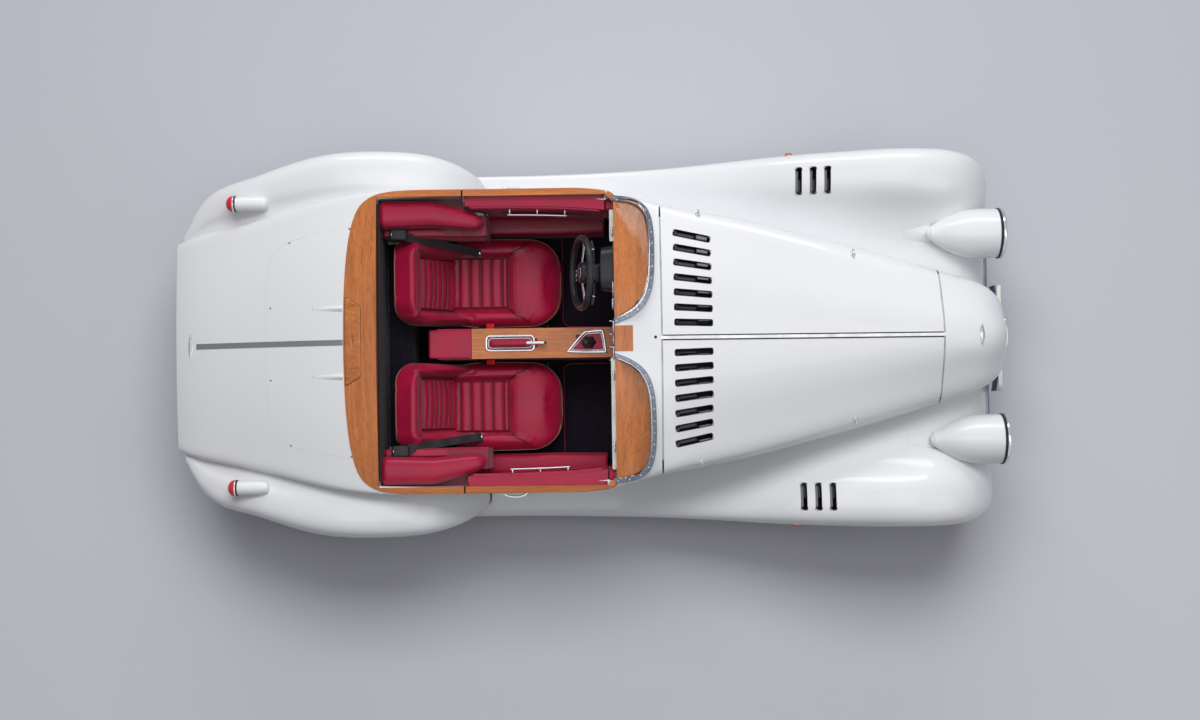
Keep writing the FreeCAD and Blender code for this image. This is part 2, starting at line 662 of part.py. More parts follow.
def front_wing():
    """Left front wing with its running board, headlamp pod and three vent slots."""
    width = S["front_wing_half_width"]
    sections = list(upright_sections(FRONT_TAIL_SHARES, width))
    sections += list(fanned_sections(FRONT_FAN_SHARES, width, S["front_axle_x"]))
    skin = wing_skin(sections, 0, -S["wing_skin"])
    skin = skin.cut(arch_tool(S["front_axle_x"], S["front_arch_radius"], S["king_y"] - S["king_offset"]))
    pod = headlamp_pod()
    hollow = Part.makeCylinder(
        S["front_arch_radius"] - S["wing_skin"],
        S["wing_half_width"],
        Vector(S["front_axle_x"], 0, S["axle_height"]),
        Vector(0, 1, 0),
    )
    skin = skin.fuse(pod.cut(hollow))
    for i in range(int(S["vent_count"])):
        place = i - (S["vent_count"] - 1) / 2
        centre = Vector(
            S["front_axle_x"] - S["vent_setback"] + place * S["vent_pitch"],
            S["vent_offset"],
            S["wing_crest"],
        )
        skin = skin.cut(slot(S["vent_length"], S["vent_width"], S["wing_crest"] / 2, centre, 90))
    skin = skin.cut(body_form(S["wing_seam"]))
    skin = skin.cut(wing_bulk(rear_sections(), S["shut_gap"]))
    return largest(skin)


def rear_sections():
    width = S["wing_half_width"]
    sections = list(fanned_sections(REAR_FAN_SHARES, width, S["rear_axle_x"]))
    return sections + list(upright_sections(REAR_TAIL_SHARES, width))


def rear_wing():
    """Left rear wing with its tail lamp pod."""
    skin = wing_skin(rear_sections(), 0, -S["wing_skin"])
    skin = skin.cut(arch_tool(S["rear_axle_x"], S["rear_arch_radius"], S["body_half_width"]))
    skin = skin.fuse(tail_lamp_pod())
    skin = skin.cut(body_form(S["wing_seam"]))
    return largest(skin)


def largest(shape):
    """The biggest solid of a cut shape, without the offcuts."""
    return max(shape.Solids, key=lambda solid: solid.Volume)


# The timber rim: a ring in plan, its rear arc over the deck and its sides along the doors.
RING_OUTER_SHARES = (
    (0.00, 0.00),
    (0.02, 0.30),
    (0.10, 0.62),
    (0.32, 0.86),
    (0.72, 0.965),
    (1.35, 1.0),
    (2.4, 1.0),
)


def ring_outline(inset):
    """Plan outline of the rim's outer edge, left and right, open towards the nose."""
    depth, half = S["deck_depth"], S["body_half_width"] - S["rail_proud"]
    left = [
        Vector(S["deck_rear_x"] + x * depth + inset, y * (half - inset), 0)
        for x, y in RING_OUTER_SHARES
    ]
    right = [Vector(p.x, -p.y, 0) for p in reversed(left[1:])]
    return left, right


def ring_prism():
    """Upright prism over the rim's timber, from its underside up."""
    left, right = ring_outline(0.0)
    end = S["door_front_x"]
    curve = pole_curve(right + left)
    side_l = Part.makeLine(left[-1], Vector(end, left[-1].y, 0))
    across = Part.makeLine(Vector(end, left[-1].y, 0), Vector(end, -left[-1].y, 0))
    side_r = Part.makeLine(Vector(end, -left[-1].y, 0), right[0])
    face = Part.Face(Part.Wire([curve, side_l, across, side_r]))
    inner = left[-1].y - S["rail_width"]
    hole = block(
        S["deck_front_x"], end + S["cut_over"], -inner, inner, -S["cut_over"], S["cut_over"]
    )
    face = face.cut(hole)
    face.translate(Vector(0, 0, S["rail_base"]))
    return face.extrude(Vector(0, 0, S["scuttle_top"]))


def timber():
    """The whole rim, following the body form's crown."""
    return ring_prism().common(body_form(S["rail_proud"]))


# The door's rear foot as a share of its length, and the step's two heights.
FOOT_SHARE = 0.135
STEP_SHARES = (0.36, 0.60)


def door_outline(grow):
    """Side outline of the left door, with its rear edge stepped forward round the rear wing."""
    x0, x1 = S["door_rear_x"] - grow, S["door_front_x"] + grow
    foot = x0 + S["door_length"] * FOOT_SHARE
    z0 = S["door_base"] - grow
    step, lift = (S["door_base"] + (S["rail_base"] - S["door_base"]) * share for share in STEP_SHARES)
    top = S["scuttle_top"] if grow else S["rail_base"] - S["seat_gap"]
    points = [(x1, z0), (foot, z0), (foot, step), (x0, lift), (x0, top), (x1, top)]
    return prism([Vector(x, 0, z) for x, z in points], "y", 0, S["wing_half_width"])


def door_trim():
    """Padded panel inside the left door, set in from the door's front, rear and lower edges."""
    x0, x1 = S["door_rear_x"] + S["shut_gap"], S["door_front_x"] - S["shut_gap"]
    zone = half_box(x0, x1, S["door_base"] + S["trim_lift"]).common(door_outline(0))
    outer, inner = -S["body_wall"] - S["seat_gap"], -S["body_wall"] - S["trim_thickness"]
    return largest(zone.common(plan_form(outer)).cut(plan_form(inner)))


def cabin_tool():
    """What is taken out of the tub for the people: footwell, shelf and wheel boxes."""
    low = plan_form(-S["body_wall"])
    well = low.common(full_box(S["shelf_front_x"], S["door_front_x"] + S["cut_over"], S["floor_top"]))
    high = low.common(full_box(S["deck_front_x"], S["shelf_front_x"], S["shelf_height"]))
    start, end = S["deck_front_x"] - S["cut_over"], S["door_rear_x"] - S["shut_gap"]
    wide = S["arch_inner"]
    between = block(start, end + S["cut_over"], -wide, wide, -S["cut_over"], S["scuttle_top"])
    boxes = full_box(start, end, 0, S["arch_box_top"]).cut(between)
    return well.fuse(high).cut(boxes)


def tub():
    """Cabin sides, luggage shelf and closed tail in one piece."""
    shape = body_form(0).common(full_box(S["tail_x"] - S["cut_over"], S["door_front_x"]))
    shape = shape.cut(cabin_tool())
    bay = block(
        S["rear_axle_x"] - S["rear_arch_radius"] - S["cut_over"],
        S["shelf_front_x"] - S["floor_thickness"] * 2,
        -S["body_half_width"], S["body_half_width"], 0, S["axle_bay_top"],
    )
    shape = shape.cut(bay)
    arch = arch_tool(S["rear_axle_x"], S["rear_arch_radius"], S["arch_inner"] + S["floor_thickness"] * 2)
    shape = shape.cut(both(arch))
    shape = shape.cut(both(door_outline(S["shut_gap"])))
    shape = shape.cut(ring_prism())
    shape = shape.cut(full_box(S["deck_front_x"], S["door_front_x"] + S["cut_over"], S["rail_base"]))
    recess = body_layer(S["cut_over"], -S["deck_panel_depth"], deck_panel_prism(S["seat_gap"]))
    shape = shape.cut(recess)
    shape = shape.cut(tail_tuck()).cut(floor_pan())
    return largest(shape)


TUCK_TOP_SHARE = 0.56


def tail_tuck():
    """Takes the tail's foot forwards, so that the rear panel leans under the deck."""
    x, reach = S["tail_x"], S["tail_pod_length"]
    top = S["scuttle_top"] * TUCK_TOP_SHARE
    points = [(x - S["cut_over"], top), (x - S["cut_over"], 0), (x + reach, 0)]
    wide = S["wing_half_width"]
    return prism([Vector(px, 0, pz) for px, pz in points], "y", -wide, 2 * wide)


DECK_PANEL_SHARES = ((0.0, 0.0), (0.0, 0.45), (0.01, 0.75), (0.12, 0.93), (0.45, 0.985), (1.0, 1.06))


def deck_panel_prism(grow):
    """Upright prism over the screwed panel behind the timber deck."""
    front = S["deck_rear_x"] + S["deck_depth"]
    rear = S["deck_rear_x"] - S["deck_panel_length"] - grow
    half = S["deck_panel_half_width"] + grow
    left = [
        Vector(rear + x * S["deck_panel_length"], y * half, 0) for x, y in DECK_PANEL_SHARES
    ]
    right = [Vector(p.x, -p.y, 0) for p in reversed(left[1:])]
    curve = pole_curve(right + left)
    corner_l, corner_r = left[-1], right[0]
    end_l, end_r = Vector(front, corner_l.y, 0), Vector(front, corner_r.y, 0)
    sides = [Part.makeLine(corner_l, end_l), Part.makeLine(end_l, end_r), Part.makeLine(end_r, corner_r)]
    face = Part.Face(Part.Wire([curve] + sides))
    return face.extrude(Vector(0, 0, S["scuttle_top"] + S["cut_over"]))


def deck_panel():
    shape = body_layer(0, -S["deck_panel_depth"] + S["seat_gap"], deck_panel_prism(0))
    return largest(shape.cut(ring_prism()))


# Wind deflectors: a rounded U in plan, its open side to the cockpit.
SCREEN_SHARES = (
    (-0.04, 1.0),
    (0.30, 1.0),
    (0.86, 0.93),
    (1.05, 0.52),
    (1.03, -0.10),
    (0.98, -0.62),
    (0.55, -0.90),
    (0.0, -1.0),
)
GLASS_REAR_SHARE = 0.6
GLASS_FOOT_SHARE = 0.94


def screen_outline(inset, height=0.0):
    """Closed plan outline of the left deflector, its edge moved in by an inset."""
    reach, span = S["screen_reach"] - inset, S["screen_half_span"] - inset
    points = [
        Vector(S["dash_x"] + x * reach, S["screen_offset"] + y * span, height)
        for x, y in SCREEN_SHARES
    ]
    return Part.Wire([pole_curve(points), Part.makeLine(points[-1], points[0])])


def screen_prism(inset, x_from=None):
    face = Part.Face(screen_outline(inset, S["dash_base"]))
    shape = face.extrude(Vector(0, 0, S["scuttle_top"]))
    if x_from is not None:
        shape = shape.common(full_box(x_from, S["bonnet_front_x"], 0, S["scuttle_top"] * 2))
    return shape


def screen_frame():
    ring = screen_prism(0).cut(screen_prism(S["screen_band"]))
    ring = ring.common(full_box(S["dash_x"] - S["dash_edge"], S["bonnet_front_x"]))
    return body_layer(S["screen_band_height"], 0, ring)


def screen_glass():
    """The clear sheet: a leaning wall over the band's middle, cut down towards the cockpit."""
    middle = S["screen_band"] / 2
    low, high = S["dash_base"], S["scuttle_top"] + S["screen_height"]
    lean = S["screen_lean"]
    outer = Part.makeLoft([screen_outline(middle, low), screen_outline(middle + lean, high)], True)
    glass = S["screen_glass"]
    inner = Part.makeLoft(
        [screen_outline(middle + glass, low), screen_outline(middle + lean + glass, high)], True
    )
    wall = outer.cut(inner).cut(body_form(S["screen_band_height"] + S["seat_gap"]))
    front = S["dash_x"] + S["screen_reach"]
    rear = S["dash_x"] + S["cut_over"] * GLASS_REAR_SHARE
    wall = wall.common(full_box(rear, front, 0, high))
    slope = prism(
        [
            Vector(rear - S["cut_over"], 0, S["scuttle_top"] * GLASS_FOOT_SHARE),
            Vector(front - S["screen_band"] * 3, 0, high),
            Vector(front + S["cut_over"], 0, high + S["cut_over"]),
            Vector(rear - S["cut_over"], 0, high + S["cut_over"]),
        ],
        "y", 0, S["wing_half_width"],
    )
    return largest(wall.cut(slope))


def dash_wood():
    """Timber tops inside the deflectors and the bridge of timber between them."""
    inset = S["screen_band"] + S["seat_gap"]
    tops = body_layer(S["rail_proud"], -S["dash_wood"], screen_prism(inset, S["dash_x"] + S["seat_gap"]))
    bridge = body_layer(S["rail_proud"], -S["dash_wood"], centre_wood_prism(0))
    return Part.makeCompound([largest(tops), largest(mirrored(tops)), largest(bridge)])


def centre_wood_prism(grow):
    half = S["centre_wood_half"] + grow
    start = S["dash_x"] + S["seat_gap"]
    return block(
        start, start + S["centre_wood_reach"] + grow, -half, half, 0, S["scuttle_top"] + S["cut_over"]
    )


def scuttle():
    """Skin between doors and bonnet with the bulkhead at its front."""
    wall, front = S["scuttle_wall"], S["bonnet_rear_x"] - S["shut_gap"]
    shape = body_layer(0, -wall, full_box(S["door_front_x"], front, S["floor_top"]))
    plate = body_form(-wall).common(full_box(front - wall, front, S["floor_top"]))
    shape = shape.fuse(plate)
    start, half = S["door_front_x"] - S["cut_over"], S["body_half_width"] - S["body_wall"]
    top = S["scuttle_top"] + S["cut_over"]
    shape = shape.cut(block(start, S["dash_x"], -half, half, S["rail_base"], top))
    shape = shape.cut(screen_prism(S["screen_band"]))
    shape = shape.cut(mirrored(screen_prism(S["screen_band"])))
    shape = shape.cut(centre_wood_prism(S["seat_gap"]))
    return largest(shape.removeSplitter())


def dashboard():
    """Instrument panel under the timber tops."""
    inner = body_form(-S["scuttle_wall"] - S["seat_gap"])
    return inner.common(full_box(S["dash_x"], S["dash_x"] + S["dash_thickness"], S["dash_base"]))


def bonnet_edge_prism(x0, x1, shift):
    """Everything above the bonnet's lower edge, between two stations."""
    z0, z1 = S["bonnet_edge_rear"] + shift, S["bonnet_edge_front"] + shift
    top = S["scuttle_top"] + S["cut_over"]
    points = [Vector(x0, 0, z0), Vector(x1, 0, z1), Vector(x1, 0, top), Vector(x0, 0, top)]
    return prism(points, "y", 0, S["wing_half_width"])


def bonnet_half():
    """Left bonnet half with its louvre slots."""
    x0, x1 = S["bonnet_rear_x"], S["bonnet_front_x"]
    edge = S["spine_half_width"] + S["spine_gap"]
    zone = bonnet_edge_prism(x0, x1, 0)
    zone = zone.common(block(x0, x1, edge, S["wing_half_width"], 0, S["scuttle_top"] + S["cut_over"]))
    shape = body_layer(0, -S["bonnet_skin"], zone)
    for i in range(1, int(S["louvre_count"]) + 1):
        turn = -S["louvre_fan"] * i / S["louvre_count"]
        centre = Vector(
            x0 + S["louvre_setback"] + S["louvre_length"] / 2, i * S["louvre_pitch"], S["scuttle_top"]
        )
        shape = shape.cut(slot(S["louvre_length"], S["louvre_width"], S["scuttle_top"] / 2, centre, turn))
    return largest(shape)


def bonnet_spine():
    half = S["spine_half_width"]
    x0, x1 = S["bonnet_rear_x"] - S["shut_gap"], S["bonnet_front_x"] + S["shut_gap"]
    strip = block(x0, x1, -half, half, S["dash_base"], S["scuttle_top"] + S["cut_over"])
    return body_layer(S["spine_proud"], -S["bonnet_skin"], strip)


def engine_bay_sides():
    """Inner panels under the bonnet's lower edges, cut away round the front suspension."""
    x0, x1 = S["bonnet_rear_x"] - S["shut_gap"], S["bonnet_front_x"] + S["shut_gap"]
    shape = body_layer(0, -S["cowl_skin"], full_box(x0, x1, S["rail_top"]))
    shape = shape.cut(both(bonnet_edge_prism(x0, x1, -S["shut_gap"])))
    half = S["spine_gap"]
    shape = shape.cut(block(x0, x1, -half, half, 0, S["scuttle_top"] + S["cut_over"]))
    reach = S["rim_radius"] + S["cut_over"]
    above = S["axle_height"] + S["knuckle_half_height"] + S["arm_thickness"] * 3
    return shape.cut(full_box(S["front_axle_x"] - reach, x1 + S["cut_over"], 0, above))


# Nose: the cowl, the grille in its opening and the blank plate ahead of it. The grille starts
# behind the cowl's front by a share of the nose, and its bars run under its frame.
GRILLE_START_SHARE = 0.3
GRILLE_UNDER_SHARE = 0.8
GRILLE_SHARES = ((0.0, 1.0), (0.55, 1.0), (0.86, 0.93), (1.0, 0.66), (0.98, 0.30), (0.86, 0.0))


def grille_prism(inset):
    """Prism along the car over the grille's shield outline."""
    half = S["grille_half_width"] - inset
    low, high = S["grille_base"] + inset, S["grille_top"] - inset
    left = [Vector(0, y * half, low + z * (high - low)) for y, z in GRILLE_SHARES]
    right = [Vector(0, -p.y, p.z) for p in reversed(left[1:])]
    curve = pole_curve(right + left)
    face = Part.Face(Part.Wire([curve, Part.makeLine(left[-1], right[0])]))
    face.translate(Vector(S["bonnet_front_x"], 0, 0))
    return face.extrude(Vector(S["nose_length"] + S["cut_over"], 0, 0))


def nose_cowl():
    zone = full_box(S["bonnet_front_x"] + S["shut_gap"], S["nose_x"] + S["cut_over"])
    shape = body_layer(0, -S["cowl_skin"], zone)
    shape = shape.cut(grille_prism(-S["seat_gap"]))
    return largest(shape)


def grille():
    front = full_box(S["bonnet_front_x"] + S["nose_length"] * GRILLE_START_SHARE, S["nose_x"])
    frame = grille_prism(0).cut(grille_prism(S["grille_frame"])).common(front)
    shape = body_layer(S["rail_proud"], -S["grille_depth"], frame)
    inside = grille_prism(S["grille_frame"] * GRILLE_UNDER_SHARE).common(front)
    inside = body_layer(0, -S["grille_depth"], inside)
    pitch = 2 * (S["grille_half_width"] - S["grille_frame"]) / (S["slat_count"] + 1)
    half = S["slat_width"] / 2
    bars = []
    for i in range(int(S["slat_count"])):
        y = (i - (S["slat_count"] - 1) / 2) * pitch
        bars.append(block(S["bonnet_front_x"], S["nose_x"], y - half, y + half, 0, S["scuttle_top"]))
    return largest(shape.fuse(inside.common(Part.makeCompound(bars)).Solids))


def front_lip():
    """Lower front bar with the blank plate on two brackets."""
    x1 = S["nose_x"] - S["plate_thickness"] - S["plate_bow"]
    x0 = x1 - S["lip_depth"]
    wide = S["lip_half_width"]
    bar = block(x0, x1, -wide, wide, S["lip_base"], S["lip_base"] + S["lip_height"])
    front = [e for e in bar.Edges if abs(e.CenterOfMass.x - x1) < 1 and e.Length > wide]
    bar = bar.makeFillet(S["lip_round"], front)
    sections = list(fanned_sections(FRONT_FAN_SHARES, S["front_wing_half_width"], S["front_axle_x"]))
    gap, skin = S["seat_gap"], -S["wing_skin"] * 2
    for cutter in (wing_bulk(sections, gap), wing_skin(sections, gap, skin)):
        bar = bar.cut(cutter).cut(mirrored(cutter))
    bar = largest(bar).fuse(plate()).fuse(brackets()).removeSplitter()
    return largest(bar.cut(body_form(S["wing_seam"])))


def plate():
    """A blank plate bowed back towards its ends."""
    half, bow, thick = S["plate_width"] / 2, S["plate_bow"], S["plate_thickness"]
    front = Part.Arc(
        Vector(S["nose_x"] - bow, -half, 0), Vector(S["nose_x"], 0, 0), Vector(S["nose_x"] - bow, half, 0)
    ).toShape()
    back = front.copy()
    back.translate(Vector(-thick, 0, 0))
    ends = [Part.makeLine(front.Vertexes[i].Point, back.Vertexes[i].Point) for i in (0, 1)]
    face = Part.Face(Part.Wire([front, ends[1], back, ends[0]]))
    face.translate(Vector(0, 0, S["plate_base"]))
    return face.extrude(Vector(0, 0, S["plate_height"]))


BRACKET_SHARE = 0.3


def brackets():
    """Two upright straps from the lower front bar to the plate."""
    x1 = S["nose_x"] - S["plate_thickness"] - S["plate_bow"] * BRACKET_SHARE
    x0 = x1 - S["plate_bow"] - S["lip_depth"] / 2
    y = S["plate_width"] * BRACKET_SHARE
    foot = S["lip_base"] + S["lip_height"] / 2
    top = S["plate_base"] + S["plate_height"] / 2
    return both(block(x0, x1, y, y + S["plate_thickness"] * 2, foot, top))


# Lamps. A dome's poles: distance ahead as a share of the bulge, radius as a share of the rim's.
DOME_SHARES = ((0.55, 0.96), (1.25, 0.45), (1.25, 0.0))
TAIL_DOME_SHARES = ((1.0, 0.0), (1.0, 0.55), (0.5, 1.0))
TAIL_DOME_RADIUS_SHARE = 0.92


def headlamp_lens():
    """Clear dome in the pod's mouth."""
    radius = S["pod_radius"] - 2 * S["bezel_tube"] - S["seat_gap"]
    bulge, thick = S["lens_bulge"], S["lens_thickness"]
    centre = Vector(S["pod_rim_x"] - 2 * thick, S["pod_offset"], S["pod_height"])
    outer = [(0.0, radius)] + [(bulge * u, radius * r) for u, r in DOME_SHARES]
    inner = [(0.0, radius - thick)]
    inner += [(bulge * u - thick, (radius - thick) * r) for u, r in DOME_SHARES]
    return revolved_along_x(outer, centre).cut(revolved_along_x(inner, centre))


def tail_lens():
    """Red dome behind the tail lamp pod, solid."""
    radius, dome = S["tail_pod_radius"] * TAIL_DOME_RADIUS_SHARE, S["tail_dome"]
    points = [(-dome * u, radius * r) for u, r in TAIL_DOME_SHARES] + [(-S["seat_gap"], radius)]
    return revolved_along_x(
        points, Vector(S["tail_pod_rim_x"], S["tail_pod_offset"], S["tail_pod_height"])
    )


def bound(kind, name, **bindings):
    """A Part primitive whose properties follow the sheet through expressions."""
    obj = doc.addObject(kind, name)
    for prop, expression in bindings.items():
        obj.setExpression(prop.replace("__", "."), expression)
    return obj


def bound_box(name, length, width, height, x, y, z):
    return bound(
        "Part::Box", name, Length=length, Width=width, Height=height,
        Placement__Base__x=x, Placement__Base__y=y, Placement__Base__z=z,
    )


def fused(label, parts):
    """A sub-part fused from document objects."""
    obj = doc.addObject("Part::MultiFuse", label)
    obj.Shapes = parts
    obj.Refine = True
    return keep(obj, label)


def headlamp_bezels():
    """Bright rings round both lamp mouths."""
    rings = []
    for name, side in (("left", ""), ("right", "-")):
        ring = bound(
            "Part::Torus", f"bezel_{name}", Radius1="Sizes.pod_radius - Sizes.bezel_tube",
            Radius2="Sizes.bezel_tube",
            Placement__Base__x="Sizes.pod_rim_x + Sizes.bezel_tube + Sizes.seat_gap",
            Placement__Base__y=f"{side}Sizes.pod_offset", Placement__Base__z="Sizes.pod_height",
        )
        ring.Placement = Placement(ring.Placement.Base, Rotation(Vector(0, 1, 0), 90))
        rings.append(ring)
    pair = doc.addObject("Part::Compound", "headlamp_bezels")
    pair.Links = rings
    return keep(pair, "headlamp_bezels")


# Wheels, built about their own middle with the axle along Y and the outer face at +Y.
def closed_sketch(body, name, role, points):
    """A polygon sketch on an origin plane, every corner held by two bound distances."""
    plane = [f for f in body.Origin.OriginFeatures if f.Role == role][0]
    sketch = body.newObject("Sketcher::SketchObject", name)
    sketch.AttachmentSupport = [(plane, "")]
    sketch.MapMode = "FlatFace"
    corners = [Vector(size(u), size(v), 0) for u, v in points]
    count = len(corners)
    for i in range(count):
        sketch.addGeometry(Part.LineSegment(corners[i], corners[(i + 1) % count]), False)
    for i in range(count):
        sketch.addConstraint(Sketcher.Constraint("Coincident", i, 2, (i + 1) % count, 1))
    for i, (u, v) in enumerate(points):
        for kind, alias in (("DistanceX", u), ("DistanceY", v)):
            at = sketch.addConstraint(Sketcher.Constraint(kind, -1, 1, i, 1, size(alias)))
            if alias != "0":
                sign, plain = ("-", alias[1:]) if alias.startswith("-") else ("", alias)
                sketch.setExpression(f"Constraints[{at}]", f"{sign}Sizes.{plain}")
    return sketch


def wheel_placement(x, side):
    """The wheel's outer face turned to the car's left or right."""
    turn = Rotation(Vector(0, 0, 1), 0 if side > 0 else 180)
    return Placement(Vector(x, side * S["wheel_y"], S["axle_height"]), turn)


def tyre(label, x, side):
    """A revolved tyre with rounded shoulders, open towards the rim."""
    body = doc.addObject("PartDesign::Body", label)
    profile = closed_sketch(
        body, f"{label}_profile", "XY_Plane",
        (
            ("tyre_seat", "-tyre_half_width"), ("tyre_shoulder", "-tyre_half_width"),
            ("tyre_radius", "-tread_half_width"), ("tyre_radius", "tread_half_width"),
            ("tyre_shoulder", "tyre_half_width"), ("tyre_seat", "tyre_half_width"),
        ),
    )
    turned = body.newObject("PartDesign::Revolution", f"{label}_turned")
    turned.Profile = profile
    turned.ReferenceAxis = (profile, ["V_Axis"])
    turned.Angle = 360
    doc.recompute()
    body.Placement = wheel_placement(x, side)
    return keep(body, label)


def rim(label, x, side):
    """Barrel, hub with brake disc, and a ring of spokes by a polar pattern."""
    body = doc.addObject("PartDesign::Body", label)
    barrel = closed_sketch(
        body, f"{label}_barrel", "XY_Plane",
        (
            ("rim_inner", "-rim_half_width"), ("rim_inner", "-drop_edge"), ("drop_inner", "-drop_edge_in"),
            ("drop_inner", "drop_edge_in"), ("rim_inner", "drop_edge"), ("rim_inner", "rim_half_width"),
            ("tyre_seat_rim", "rim_half_width"), ("tyre_seat_rim", "drop_edge"),
            ("drop_radius", "drop_edge_in"), ("drop_radius", "-drop_edge_in"),
            ("tyre_seat_rim", "-drop_edge"), ("tyre_seat_rim", "-rim_half_width"),
        ),
    )
    turned = body.newObject("PartDesign::Revolution", f"{label}_turned")
    turned.Profile = barrel
    turned.ReferenceAxis = (barrel, ["V_Axis"])
    turned.Angle = 360
    hub = closed_sketch(
        body, f"{label}_hub", "XY_Plane",
        (
            ("0", "-hub_depth"), ("hub_radius", "-hub_depth"), ("hub_radius", "-disc_back"),
            ("disc_radius", "-disc_back"), ("disc_radius", "-disc_face"), ("hub_radius", "-disc_face"),
            ("hub_radius", "spoke_face"), ("0", "spoke_face"),
        ),
    )
    middle = body.newObject("PartDesign::Revolution", f"{label}_middle")
    middle.Profile = hub
    middle.ReferenceAxis = (hub, ["V_Axis"])
    middle.Angle = 360
    spoke = closed_sketch(
        body, f"{label}_spoke", "XZ_Plane",
        (
            ("spoke_start", "-spoke_half"), ("spoke_end", "-spoke_half"),
            ("spoke_end", "spoke_half"), ("spoke_start", "spoke_half"),
        ),
    )
    spoke.setExpression("AttachmentOffset.Base.z", "-Sizes.spoke_face")
    pad = body.newObject("PartDesign::Pad", f"{label}_spoke_pad")
    pad.Profile = spoke
    pad.setExpression("Length", "Sizes.spoke_depth")
    doc.recompute()
    ring = body.newObject("PartDesign::PolarPattern", f"{label}_spokes")
    ring.Originals = [pad]
    ring.Axis = (spoke, ["N_Axis"])
    ring.Angle = 360
    ring.Occurrences = int(S["spoke_count"])
    body.Tip = ring
    doc.recompute()
    body.Placement = wheel_placement(x, side)
    return keep(body, label)


HUB_BOSS_SHARE = 0.8
BOSS_LENGTH_SHARE = 1.4


def knuckle(side):
    """Upright that carries a front wheel, with its caliper and steering arm."""
    face = S["wheel_y"] - S["hub_depth"] - S["seat_gap"]
    x, z = S["front_axle_x"], S["axle_height"]
    half, arm = S["knuckle_half_height"], S["arm_thickness"]
    post = block(x - arm, x + arm, S["king_y"] - arm, face - S["seat_gap"], z - half, z + half)
    length = arm * BOSS_LENGTH_SHARE
    boss = Part.makeCylinder(
        S["hub_radius"] * HUB_BOSS_SHARE, length, Vector(x, face - length, z), Vector(0, 1, 0)
    )
    lower = Part.makeCylinder(arm, arm, Vector(x, S["king_y"], z - half))
    upper = Part.makeCylinder(arm, arm, Vector(x, S["king_y"], z + half - arm))
    steer = block(x - S["disc_radius"], x, S["king_y"] - arm, S["king_y"], z - half, z - half + arm)
    shape = post.fuse(boss).fuse(lower).fuse(upper).fuse(steer).fuse(caliper(x))
    shape = largest(shape.removeSplitter())
    return shape if side > 0 else mirrored(shape)


# The caliper's inner edge and its tie's end as shares of the disc's radius, its half length as a
# share of an arm's thickness.
CALIPER_SHARE = 0.62
TIE_SHARE = 0.8
CALIPER_REACH_SHARE = 2.4


def caliper(x):
    """Brake caliper over the disc's front edge, tied to the upright."""
    z, radius, arm = S["axle_height"], S["disc_radius"], S["arm_thickness"]
    thick, gap = S["disc_thickness"], S["shut_gap"] / 2
    disc = S["wheel_y"] - S["disc_back"]
    reach = arm * CALIPER_REACH_SHARE
    x0, x1 = x + radius * CALIPER_SHARE, x + radius + gap * 4
    body = block(x0, x1, disc - reach, disc + thick + gap + arm, z - reach, z + reach)
    groove = Part.makeCylinder(radius + gap, thick + 2 * gap, Vector(x, disc - gap, z), Vector(0, 1, 0))
    y1 = disc - gap - arm / 2
    tie = block(x, x + radius * TIE_SHARE, disc - reach, y1, z - reach / 2, z + reach / 2)
    return body.cut(groove).fuse(tie)


def wishbone(z, y_in, y_out, x, spread, radius):
    """Two round legs from the frame to one eye."""
    eye = Vector(x, y_out, z)
    legs = [rod(Vector(x + s * spread, y_in, z), eye, radius) for s in (-1, 1)]
    return legs[0].fuse(legs[1])


# Coil-over strut: its foot in from the eye, its head out from the frame and its radius, all as
# shares of an arm's thickness.
STRUT_FOOT_SHARE = 4.0
STRUT_HEAD_SHARE = 1.6
STRUT_RADIUS_SHARE = 1.3
PERCH_SHARE = 2.4


def front_suspension():
    """Wishbones with their brackets and coil-over struts."""
    x, z, arm = S["front_axle_x"], S["axle_height"], S["arm_thickness"]
    half, gap = S["knuckle_half_height"], S["seat_gap"]
    y_in, y_out = S["rail_outer_y"] + gap, S["king_y"]
    spread, ball = S["arm_spread"], arm / 2
    low, high = z - half - gap - ball, z + half + gap + ball
    perch = high + arm * STRUT_HEAD_SHARE
    foot = Vector(x, y_out - arm * STRUT_FOOT_SHARE, low)
    head = Vector(x, y_in + arm * STRUT_HEAD_SHARE, high + arm * 2)
    shape = rod(foot, head, arm * STRUT_RADIUS_SHARE)
    for level in (low, high):
        eye = Part.makeCylinder(arm, arm, Vector(x, y_out, level - ball))
        shape = shape.fuse(wishbone(level, y_in + ball, y_out, x, spread, ball)).fuse(eye)
        for middle in (x - spread, x + spread):
            bracket = block(middle - arm, middle + arm, y_in, y_in + arm, level - ball, level + ball)
            shape = shape.fuse(bracket)
    shape = shape.fuse(block(x - spread, x + spread, y_in, y_in + arm, high, perch))
    shape = shape.fuse(block(x - arm, x + arm, y_in, y_in + arm * PERCH_SHARE, high - ball, perch))
    return both(largest(shape))


def steering_rack():
    """Rack housing across the frame with its tie rods, their outer ends left free."""
    arm = S["arm_thickness"]
    z = S["rail_top"] + arm + S["seat_gap"]
    x = S["front_axle_x"] - S["disc_radius"] - arm * 3
    wide = S["rail_outer_y"]
    reach = wide + S["spoke_face"]
    tube = rod(Vector(x, -wide, z), Vector(x, wide, z), arm)
    return tube.fuse(rod(Vector(x, -reach, z), Vector(x, reach, z), arm / 2))


